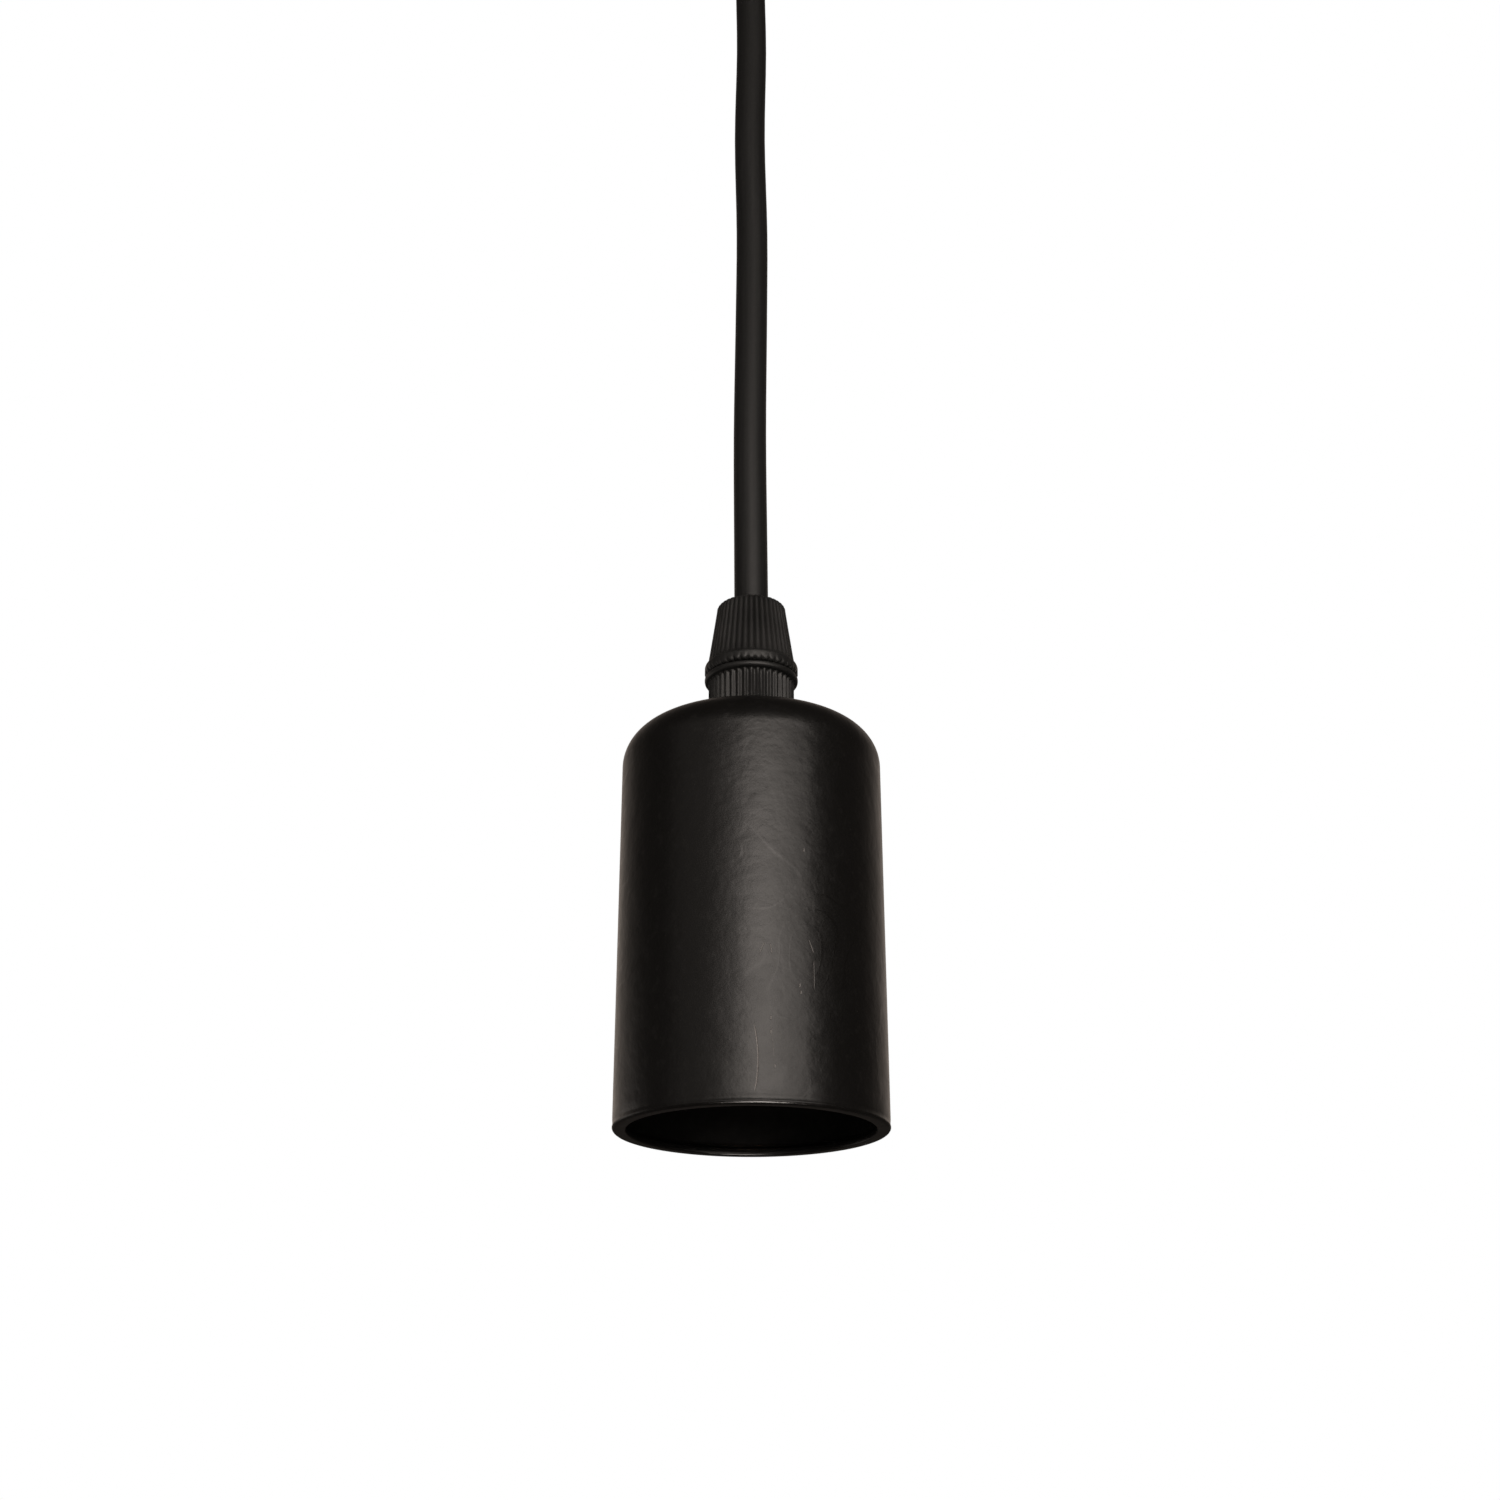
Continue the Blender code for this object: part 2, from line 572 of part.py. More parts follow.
def cap_hole_height():
    """The earth core leaves the cap through the foot of its dome."""
    return BAND_TOP + CAP_HOLE_ABOVE_BAND


def make_cap(holder, moulding):
    """The cap: neck for the bush, dome, outer band and a spigot that goes into the skirt."""
    dome = []
    for index in range(6):
        angle = math.pi / 2 * index / 5
        dome.append((SKIRT_RADIUS - (SKIRT_RADIUS - CAP_NECK_RADIUS) * (1 - math.cos(angle)),
                     BAND_TOP + CAP_DOME_HEIGHT * math.sin(angle)))
    slope_foot = BUSH_BOTTOM - CAP_CAVITY_SLOPE_DROP
    pocket = BUSH_FLANGE_RADIUS + GAP
    outline = [(CAVITY_RADIUS, SPIGOT_BOTTOM), (SPIGOT_RADIUS - CAP_CORNER, SPIGOT_BOTTOM),
               (SPIGOT_RADIUS, SPIGOT_BOTTOM + CAP_CORNER), (SPIGOT_RADIUS, BAND_BOTTOM),
               (SKIRT_RADIUS, BAND_BOTTOM)]
    outline += dome
    outline += [(CAP_NECK_RADIUS, CAP_TOP - CAP_CORNER), (CAP_NECK_RADIUS - CAP_CORNER, CAP_TOP),
                (BUSH_RADIUS + GAP, CAP_TOP), (BUSH_RADIUS + GAP, BUSH_SEAT), (pocket, BUSH_SEAT),
                (pocket, BUSH_BOTTOM), (CAVITY_RADIUS, slope_foot)]
    cap = solid(turned(outline, MOULDING_STEPS), "holder_cap", holder, moulding)
    screw_height = CAP_TOP - GRUB_SCREW_HEIGHT_BELOW_TOP
    holes = add_rod(bmesh.new(), (BUSH_RADIUS - GAP, 0, screw_height),
                    (CAP_NECK_RADIUS + GAP, 0, screw_height), GRUB_SCREW_RADIUS + GAP)
    height = cap_hole_height()
    add_rod(holes, (0, pocket, height), (0, SKIRT_RADIUS + GAP, height), CORE_RADIUS + BORE_CLEARANCE)
    return combine(cap, holes)


def make_bush(holder, brass):
    """The threaded bush in the cap's neck, which the grip's stem screws into."""
    outline = [(STEM_BORE, BUSH_BOTTOM), (BUSH_FLANGE_RADIUS, BUSH_BOTTOM),
               (BUSH_FLANGE_RADIUS, BUSH_BOTTOM + BUSH_FLANGE_THICKNESS),
               (BUSH_RADIUS, BUSH_BOTTOM + BUSH_FLANGE_THICKNESS),
               (BUSH_RADIUS, BUSH_TOP), (STEM_BORE, BUSH_TOP)]
    bush = solid(turned(outline, 20), "cap_bush", holder, brass)
    height = CAP_TOP - GRUB_SCREW_HEIGHT_BELOW_TOP
    return combine(bush, add_rod(bmesh.new(), (STEM_BORE - GAP, 0, height),
                                 (BUSH_RADIUS + GAP, 0, height), GRUB_SCREW_RADIUS + GAP))


def make_grub_screw(holder, steel):
    """The side screw that locks the stem in the bush."""
    height = CAP_TOP - GRUB_SCREW_HEIGHT_BELOW_TOP
    end = CAP_NECK_RADIUS - GAP
    screw = solid(add_rod(bmesh.new(), (STEM_RADIUS + GAP, 0, height), (end, 0, height),
                          GRUB_SCREW_RADIUS, 14), "cap_grub_screw", holder, steel)
    reach = GRUB_SCREW_RADIUS + GAP
    half = GRUB_SLOT_WIDTH / 2
    return combine(screw, add_box(bmesh.new(), (end - GRUB_SLOT_DEPTH, -reach, height - half),
                                  (end + GRUB_SLOT_DEPTH, reach, height + half)))


def make_skirt(holder, moulding):
    """The skirt: it screws over the cap's spigot and carries the shell and block on its ledge."""
    bore = SPIGOT_RADIUS + GAP
    taper_top = LEDGE_TOP - SKIRT_LEDGE_THICKNESS
    taper_bottom = taper_top - SKIRT_TAPER_HEIGHT
    outline = [(SKIRT_BORE, SKIRT_MOUTH_HEIGHT + SKIRT_LIP), (SKIRT_BORE + SKIRT_LIP, SKIRT_MOUTH_HEIGHT)]
    outline += [(SKIRT_LOWER_RADIUS - SKIRT_LIP, SKIRT_MOUTH_HEIGHT),
                (SKIRT_LOWER_RADIUS, SKIRT_MOUTH_HEIGHT + SKIRT_LIP), (SKIRT_LOWER_RADIUS, taper_bottom)]
    for share in (0.25, 0.5, 0.75, 1.0):
        swell = (1 - math.cos(math.pi * share)) / 2
        outline.append((SKIRT_LOWER_RADIUS + (SKIRT_RADIUS - SKIRT_LOWER_RADIUS) * swell,
                        taper_bottom + SKIRT_TAPER_HEIGHT * share))
    outline += [(SKIRT_RADIUS, SKIRT_TOP), (bore, SKIRT_TOP), (bore, LEDGE_TOP), (SKIRT_BORE, LEDGE_TOP)]
    return solid(turned(outline, MOULDING_STEPS), "holder_skirt", holder, moulding)


def make_block(holder, ceramic):
    """The ceramic block: a disc with holes for two rivets and a slot for the shell's contact."""
    edge = BLOCK_EDGE
    radius = SPIGOT_RADIUS
    outline = [(0, BLOCK_BOTTOM), (radius - edge, BLOCK_BOTTOM), (radius, BLOCK_BOTTOM + edge),
               (radius, BLOCK_TOP - edge), (radius - edge, BLOCK_TOP), (0, BLOCK_TOP)]
    block = solid(turned(outline, MOULDING_STEPS), "contact_block", holder, ceramic)
    holes = bmesh.new()
    for side in (-1, 1):
        place = (side * TERMINAL_OFFSET, RIVET_OFFSET_Y)
        add_rod(holes, (*place, BLOCK_BOTTOM - GAP), (*place, BLOCK_TOP + GAP), RIVET_RADIUS + GAP, 12)
    half_sheet = CONTACT_SHEET / 2 + GAP
    half_width = SHELL_CONTACT_WIDTH / 2 + GAP
    add_box(holes, (SHELL_CONTACT_X - half_sheet, -half_width, BLOCK_BOTTOM - GAP),
            (SHELL_CONTACT_X + half_sheet, half_width, BLOCK_TOP + GAP))
    return combine(block, holes)


def thread_radius(height, angle, top, bottom):
    """The shell's inner radius: a round thread that fades out towards both plain ends."""
    phase = math.tau * (height / THREAD_PITCH) - angle
    swing = (THREAD_MAJOR_RADIUS - THREAD_MINOR_RADIUS) / 2
    fade = min(1.0, (top - height) / (THREAD_PITCH / 2), (height - bottom) / (THREAD_PITCH / 2))
    return THREAD_MAJOR_RADIUS - swing * max(0.0, fade) * (1 - math.cos(phase))


def make_screw_shell(holder, nickel):
    """The rolled screw shell: one thin sheet whose inside and outside both follow the thread."""
    thread_top = SHELL_TOP - SHELL_SHEET - SHELL_LIP
    thread_bottom = thread_top - THREAD_PITCH * THREAD_TURNS
    rows = THREAD_TURNS * THREAD_ROWS_PER_TURN
    heights = [thread_top - THREAD_PITCH / THREAD_ROWS_PER_TURN * row for row in range(rows + 1)]
    shape = bmesh.new()
    columns = []
    for step in range(SHELL_STEPS):
        angle = math.tau * step / SHELL_STEPS
        inner = [(THREAD_MAJOR_RADIUS, SHELL_TOP)]
        inner += [(thread_radius(z, angle, thread_top, thread_bottom), z) for z in heights]
        inner.append((THREAD_MAJOR_RADIUS, thread_bottom - SHELL_LIP))
        outer = [(r + SHELL_SHEET, z) for r, z in inner[:0:-1]]
        outer += [(THREAD_MAJOR_RADIUS + SHELL_SHEET, SHELL_TOP - SHELL_SHEET),
                  (SHELL_FLANGE_RADIUS, SHELL_TOP - SHELL_SHEET), (SHELL_FLANGE_RADIUS, SHELL_TOP)]
        columns.append([shape.verts.new((r * math.cos(angle), r * math.sin(angle), z))
                        for r, z in inner + outer])
    for column, following in zip(columns, columns[1:] + columns[:1]):
        for row in range(len(column)):
            below = (row + 1) % len(column)
            shape.faces.new((column[row], column[below], following[below], following[row]))
    return solid(shape, "screw_shell", holder, nickel, sharp=60)


def make_centre_contact(holder, bronze):
    """The live contact: a leaf riveted under the block, sprung down to the middle of the socket."""
    top = BLOCK_BOTTOM - GAP - CONTACT_SHEET / 2
    start = -TERMINAL_OFFSET - CONTACT_TAIL
    bend = -TERMINAL_OFFSET + CONTACT_TAIL
    path = [(start, top), (bend, top), (-CONTACT_REACH / 2, top - CONTACT_DROP),
            (CONTACT_REACH / 2, top - CONTACT_DROP),
            (CONTACT_REACH, top - CONTACT_DROP + CONTACT_REACH / 3)]
    leaf = solid(bent_strip(path, CONTACT_WIDTH, CONTACT_SHEET), "centre_contact", holder, bronze)
    place = (-TERMINAL_OFFSET, RIVET_OFFSET_Y)
    return combine(leaf, add_rod(bmesh.new(), (*place, top - CONTACT_SHEET), (*place, top + CONTACT_SHEET),
                                 RIVET_RADIUS + GAP, 12))


def make_shell_contact(holder, brass):
    """The neutral strip: it lies under its terminal and drops through the block to the shell."""
    top = BLOCK_TOP + GAP + CONTACT_SHEET / 2
    path = [(TERMINAL_OFFSET - CONTACT_TAIL, top), (SHELL_CONTACT_X, top),
            (SHELL_CONTACT_X, SHELL_TOP + GAP)]
    strip = solid(bent_strip(path, SHELL_CONTACT_WIDTH, CONTACT_SHEET), "shell_contact", holder, brass)
    place = (TERMINAL_OFFSET, RIVET_OFFSET_Y)
    return combine(strip, add_rod(bmesh.new(), (*place, top - CONTACT_SHEET), (*place, top + CONTACT_SHEET),
                                  RIVET_RADIUS + GAP, 12))


def make_terminal(name, side, lift, holder, brass, steel):
    """A brass pillar with a hole for its core from above, a clamping screw and its rivet."""
    base = BLOCK_TOP + GAP + lift
    half = TERMINAL_SIZE / 2
    centre_x = side * TERMINAL_OFFSET
    pillar = solid(bevelled_box((centre_x - half.x, -half.y, base),
                                (centre_x + half.x, half.y, base + TERMINAL_SIZE.z), TERMINAL_BEVEL),
                   f"{name}_terminal", holder, brass)
    middle = base + half.z
    wire_hole = CORE_RADIUS + BORE_CLEARANCE
    holes = add_rod(bmesh.new(), (centre_x, -WIRE_HOLE_OFFSET, base + TERMINAL_SIZE.z - WIRE_DEPTH - GAP),
                    (centre_x, -WIRE_HOLE_OFFSET, base + TERMINAL_SIZE.z + GAP), wire_hole, 14)
    combine(pillar, holes)
    combine(pillar, add_rod(bmesh.new(), (centre_x, -WIRE_HOLE_OFFSET, middle),
                            (centre_x, half.y + GAP, middle), TERMINAL_SCREW_RADIUS + GAP, 14))
    combine(pillar, add_rod(bmesh.new(), (centre_x, RIVET_OFFSET_Y, base - GAP),
                            (centre_x, RIVET_OFFSET_Y, base + RIVET_IN_TERMINAL),
                            RIVET_RADIUS + GAP, 12))
    tip = half.y + GAP + WIRE_HOLE_OFFSET - CORE_RADIUS - GAP
    slotted_screw(f"{name}_terminal_screw", holder, steel, (centre_x, half.y + GAP, middle),
                  (-math.pi / 2, 0, 0), (TERMINAL_SCREW_RADIUS, tip),
                  (TERMINAL_SCREW_HEAD_RADIUS, TERMINAL_SCREW_HEAD_HEIGHT),
                  (SCREW_SLOT_WIDTH, SCREW_SLOT_DEPTH))
    under = BLOCK_BOTTOM - GAP
    if side < 0:
        under -= CONTACT_SHEET + GAP
    outline = []
    for step in range(4):
        angle = math.pi / 2 * step / 3
        outline.append((RIVET_HEAD_RADIUS * math.sin(angle), under - RIVET_HEAD_HEIGHT * math.cos(angle)))
    outline += [(RIVET_RADIUS, under), (RIVET_RADIUS, base + RIVET_IN_TERMINAL - GAP),
                (0, base + RIVET_IN_TERMINAL - GAP)]
    solid(turned(outline, 10), f"{name}_rivet", holder, brass, location=(centre_x, RIVET_OFFSET_Y, 0))


def core_start(index):
    """Three cores stand in a triangle inside the jacket. Live, neutral and earth are 0, 1 and 2."""
    angle = math.radians((215, -35, 90)[index])
    return Vector((CORE_CIRCLE_RADIUS * math.cos(angle), CORE_CIRCLE_RADIUS * math.sin(angle), 0))


def make_holder_cores(holder, colours):
    """The stripped cores: two go down to the terminals, the earth core goes out to its tag."""
    top = JACKET_BOTTOM - GAP
    below_stem = STEM_BOTTOM - GAP
    for index, (name, side, lift) in enumerate((("live", -1, 0.0), ("neutral", 1, NEUTRAL_LIFT))):
        start = core_start(index)
        goal = Vector((side * TERMINAL_OFFSET, -WIRE_HOLE_OFFSET, 0))
        end = BLOCK_TOP + GAP + lift + TERMINAL_SIZE.z
        entry = end + (below_stem - end) * CORE_STRAIGHT_SHARE
        route = [(start.x, start.y, top), (start.x, start.y, (top + below_stem) / 2),
                 (start.x, start.y, below_stem), (*start.lerp(goal, 0.5).xy, (below_stem + entry) / 2),
                 (goal.x, goal.y, entry), (goal.x, goal.y, end), (goal.x, goal.y, end - WIRE_DEPTH)]
        tube(f"{name}_core", route, CORE_RADIUS, CORE_POINT_SPACING, holder, colours[index])
    start = core_start(2)
    exit_height = cap_hole_height()
    wall = CUP_RADIUS - CUP_SHEET - CORE_RADIUS - 2 * GAP
    end_height = earth_height()
    route = [(0, start.y, top), (0, start.y, (top + below_stem) / 2), (0, start.y, below_stem),
             (0, BUSH_FLANGE_RADIUS * 0.6, BUSH_BOTTOM - CORE_RADIUS * 2),
             (0, CAVITY_RADIUS * 0.82, exit_height), (0, SKIRT_RADIUS - CORE_RADIUS, exit_height),
             (0, wall, (exit_height * 2 + end_height) / 3),
             (0, wall - CORE_RADIUS, (exit_height + end_height * 3) / 4),
             (0, TAG_TONGUE_REACH + 2 * CORE_RADIUS, end_height),
             (0, TAG_TONGUE_REACH - TAG_THICKNESS, end_height)]
    tube("earth_core", route, CORE_RADIUS, CORE_POINT_SPACING, holder, colours[2])


def make_cord(ceiling, jacket):
    """The cord hangs taut, with the faint sway that a coiled cord keeps."""
    bottom = HOLDER_Z + JACKET_BOTTOM
    sway = ((0.0, 0.0), (0.08, -0.10), (0.22, -0.25), (0.38, 0.05), (0.50, 0.18), (0.64, -0.28),
            (0.78, 0.10), (0.90, -0.20), (1.0, 0.0))
    route = [(0, 0, bottom), (0, 0, (bottom + NUT_TOP_Z) / 2)]
    for share, offset in sway:
        route.append((offset * MM, offset * MM * CORD_SWAY_IN_DEPTH, NUT_TOP_Z + CORD_FREE_LENGTH * share))
    route += [(0, 0, (ROSE_GRIP_BOTTOM_Z + JACKET_TOP_Z) / 2), (0, 0, JACKET_TOP_Z)]
    tube("cord", route, CORD_RADIUS, CORD_POINT_SPACING, ceiling, jacket, resolution=3)


def make_rose_cup(ceiling, paint):
    """The ceiling rose's cover: a shallow drawn cup, open towards the ceiling."""
    corner = ROSE_CORNER_RADIUS
    inner_corner = corner - ROSE_SHEET
    hole = STEM_RADIUS + GAP
    centre_r = ROSE_RADIUS - corner
    centre_z = -ROSE_DEPTH + corner
    outline = [(ROSE_RADIUS, 0)]
    outline += arc(centre_r, centre_z, corner, 0, -90, 4)
    outline += [(hole, -ROSE_DEPTH), (hole, -ROSE_DEPTH + ROSE_SHEET)]
    outline += arc(centre_r, centre_z, inner_corner, -90, 0, 2)
    outline.append((ROSE_RADIUS - ROSE_SHEET, 0))
    cup = solid(turned(outline, ROSE_STEPS), "ceiling_cup", ceiling, paint)
    reach = ROSE_RADIUS + 2 * GAP
    return combine(cup, add_rod(bmesh.new(), (-reach, 0, -ROSE_SCREW_HEIGHT),
                                (reach, 0, -ROSE_SCREW_HEIGHT), ROSE_SCREW_RADIUS + GAP))


def ear_reach():
    """How far the bracket's ears stand from the axis, inside the cover."""
    return math.sqrt((ROSE_RADIUS - ROSE_SHEET) ** 2 - (BRACKET_WIDTH / 2) ** 2) - 2 * GAP


def make_bracket(ceiling, steel):
    """The bracket: a strip with two slots, an ear bent down at each end and a tab for the strip."""
    reach = ear_reach() - BRACKET_SHEET / 2
    middle = -BRACKET_SHEET / 2
    path = [(-reach, -BRACKET_EAR_DROP), (-reach, middle), (reach, middle), (reach, -BRACKET_EAR_DROP)]
    bracket = solid(bent_strip(path, BRACKET_WIDTH, BRACKET_SHEET), "ceiling_bracket", ceiling, steel)
    tab = add_box(bmesh.new(), (-BRACKET_TAB_WIDTH / 2, 0, -BRACKET_SHEET),
                  (BRACKET_TAB_WIDTH / 2, BRACKET_TAB_REACH, 0))
    combine(bracket, tab, "UNION")
    holes = bmesh.new()
    for side in (-1, 1):
        place = side * BRACKET_SLOT_OFFSET
        half = BRACKET_SLOT_LENGTH / 2 - BRACKET_SLOT_RADIUS
        outline = []
        for end in (1, -1):
            for index in range(7):
                angle = math.pi * index / 6 - math.pi / 2 + (math.pi if end < 0 else 0)
                outline.append((place + end * half + BRACKET_SLOT_RADIUS * math.cos(angle),
                                BRACKET_SLOT_RADIUS * math.sin(angle)))
        slot = prism(outline, -2 * BRACKET_SHEET, BRACKET_SHEET)
        mesh = bpy.data.meshes.new("slot")
        slot.to_mesh(mesh)
        slot.free()
        holes.from_mesh(mesh)
        bpy.data.meshes.remove(mesh)
        add_rod(holes, (side * (reach - BRACKET_SHEET), 0, -ROSE_SCREW_HEIGHT),
                (side * (reach + BRACKET_SHEET), 0, -ROSE_SCREW_HEIGHT), ROSE_SCREW_RADIUS + GAP)
    fixing = STRIP_PITCH / 2
    add_rod(holes, (fixing, STRIP_OFFSET, -2 * BRACKET_SHEET), (fixing, STRIP_OFFSET, BRACKET_SHEET),
            STRIP_FIXING_RADIUS + GAP, 12)
    return combine(bracket, holes)


def make_rose_screws(ceiling, paint):
    """Two screws hold the cover to the bracket's ears from the sides."""
    for name, side in (("left", -1), ("right", 1)):
        length = ROSE_RADIUS + GAP - ear_reach() + BRACKET_SHEET + ROSE_SCREW_PAST_EAR
        slotted_screw(f"ceiling_screw_{name}", ceiling, paint,
                      (side * (ROSE_RADIUS + GAP), 0, -ROSE_SCREW_HEIGHT), (0, side * math.pi / 2, 0),
                      (ROSE_SCREW_RADIUS, length), (ROSE_SCREW_HEAD_RADIUS, ROSE_SCREW_HEAD_HEIGHT),
                      (SCREW_SLOT_WIDTH * 2, SCREW_SLOT_DEPTH))


def make_rose_grip(ceiling, nylon):
    """The cord lock under the rose, with a nylon screw that presses on the cord."""
    chamfer = ROSE_GRIP_CHAMFER
    outline = [(CORD_BORE, ROSE_GRIP_BOTTOM_Z), (ROSE_GRIP_RADIUS - 2 * chamfer, ROSE_GRIP_BOTTOM_Z),
               (ROSE_GRIP_RADIUS, ROSE_GRIP_BOTTOM_Z + 2 * chamfer),
               (ROSE_GRIP_RADIUS, ROSE_GRIP_TOP_Z - chamfer / 2),
               (ROSE_GRIP_RADIUS - chamfer / 2, ROSE_GRIP_TOP_Z), (STEM_RADIUS, ROSE_GRIP_TOP_Z),
               (STEM_RADIUS, ROSE_STEM_TOP_Z - STEM_CHAMFER),
               (STEM_RADIUS - STEM_CHAMFER, ROSE_STEM_TOP_Z), (CORD_BORE, ROSE_STEM_TOP_Z)]
    grip = solid(turned(outline, 24), "ceiling_grip", ceiling, nylon)
    height = ROSE_GRIP_TOP_Z - ROSE_GRIP_SCREW_DROP
    combine(grip, add_rod(bmesh.new(), (CORD_BORE / 2, 0, height), (ROSE_GRIP_RADIUS + GAP, 0, height),
                          ROSE_GRIP_SCREW_RADIUS + GAP))
    end = ROSE_GRIP_RADIUS + ROSE_GRIP_SCREW_PROUD
    screw = solid(add_rod(bmesh.new(), (CORD_RADIUS + GAP, 0, height), (end, 0, height),
                          ROSE_GRIP_SCREW_RADIUS), "ceiling_grip_screw", ceiling, nylon)
    half = SCREW_SLOT_WIDTH
    reach = ROSE_GRIP_SCREW_RADIUS + GAP
    combine(screw, add_box(bmesh.new(), (end - SCREW_SLOT_DEPTH, -reach, height - half),
                           (end + SCREW_SLOT_DEPTH, reach, height + half)))


def strip_levels():
    """The terminal strip's top, middle and bottom."""
    top = -BRACKET_SHEET - GAP
    return top, top - STRIP_THICKNESS / 2, top - STRIP_THICKNESS


def way_places():
    middle = (STRIP_WAYS - 1) / 2
    return [STRIP_PITCH * (way - middle) for way in range(STRIP_WAYS)]


def make_strip(ceiling, nylon, brass, steel):
    """A terminal strip under the bracket's tab: nylon body, brass sleeves and their screws."""
    top, middle, bottom = strip_levels()
    half_width = STRIP_WIDTH / 2
    half_length = STRIP_PITCH * STRIP_WAYS / 2
    body = solid(bevelled_box((-half_length, STRIP_OFFSET - half_width, bottom),
                              (half_length, STRIP_OFFSET + half_width, top), STRIP_BEVEL),
                 "terminal_strip", ceiling, nylon)
    wire_hole = CORE_RADIUS + BORE_CLEARANCE
    sleeve_ends = (STRIP_OFFSET - SLEEVE_LENGTH / 2, STRIP_OFFSET + SLEEVE_LENGTH / 2)
    bores = bmesh.new()
    shafts = bmesh.new()
    for way, x in enumerate(way_places(), 1):
        past = (STRIP_OFFSET - half_width - GAP, STRIP_OFFSET + half_width + GAP)
        add_rod(bores, (x, past[0], middle), (x, past[1], middle), SLEEVE_RADIUS + GAP, 10)
        sleeve = solid(add_rod(bmesh.new(), (x, sleeve_ends[0], middle), (x, sleeve_ends[1], middle),
                               SLEEVE_RADIUS, 10), f"strip_sleeve_{way}", ceiling, brass)
        combine(sleeve, add_rod(bmesh.new(), (x, past[0], middle), (x, past[1], middle), wire_hole, 10))
        sleeve_shafts = bmesh.new()
        for name, offset in (("near", -STRIP_SCREW_OFFSET), ("far", STRIP_SCREW_OFFSET)):
            y = STRIP_OFFSET + offset
            add_rod(shafts, (x, y, bottom - GAP), (x, y, middle), STRIP_SCREW_RADIUS + GAP, 8)
            add_rod(sleeve_shafts, (x, y, bottom), (x, y, middle), STRIP_SCREW_RADIUS + GAP, 8)
            make_strip_screw(f"strip_screw_{way}_{name}", ceiling, steel, (x, y), bottom, middle)
        combine(sleeve, sleeve_shafts)
    combine(body, bores)
    combine(body, shafts)
    fixing = STRIP_PITCH / 2
    combine(body, add_rod(bmesh.new(), (fixing, STRIP_OFFSET, bottom - GAP),
                          (fixing, STRIP_OFFSET, top + GAP), STRIP_FIXING_RADIUS + GAP, 12))
    slotted_screw("strip_fixing_screw", ceiling, steel, (fixing, STRIP_OFFSET, bottom - GAP),
                  (math.pi, 0, 0), (STRIP_FIXING_RADIUS, STRIP_THICKNESS + BRACKET_SHEET),
                  (STRIP_FIXING_HEAD_RADIUS, STRIP_FIXING_HEAD_HEIGHT),
                  (SCREW_SLOT_WIDTH, SCREW_SLOT_DEPTH))


def make_strip_screw(name, ceiling, steel, place, bottom, middle):
    """A headless screw from below that clamps one core in its sleeve."""
    head = bottom + STRIP_SCREW_SINK
    screw = solid(add_rod(bmesh.new(), (*place, head), (*place, middle - CORE_RADIUS - GAP),
                          STRIP_SCREW_RADIUS, 8), name, ceiling, steel)
    x, y = place
    combine(screw, add_box(bmesh.new(),
                           (x - 2 * STRIP_SCREW_RADIUS, y - SCREW_SLOT_WIDTH / 2, head - GAP),
                           (x + 2 * STRIP_SCREW_RADIUS, y + SCREW_SLOT_WIDTH / 2, head + SCREW_SLOT_DEPTH)))


def make_rose_cores(ceiling, colours):
    """The cores rise from the jacket's end and turn into the terminal strip."""
    middle = strip_levels()[1]
    start_z = JACKET_TOP_Z + GAP
    near = STRIP_OFFSET - STRIP_WIDTH / 2
    names = ("live_supply_core", "neutral_supply_core", "earth_supply_core")
    for index, way in ((0, 0), (1, 2), (2, 1)):
        start = core_start(index)
        x = way_places()[way]
        route = [(start.x, start.y, start_z), (start.x, start.y, start_z + CORE_RADIUS),
                 (start.x + (x - start.x) * 0.35, start.y + near * 0.3, middle),
                 (x, near - CORE_RADIUS * 2, middle), (x, near, middle),
                 (x, near + STRIP_WIDTH / 2 - 2 * CORE_RADIUS, middle)]
        tube(names[index], route, CORE_RADIUS, CORE_POINT_SPACING, ceiling, colours[index])


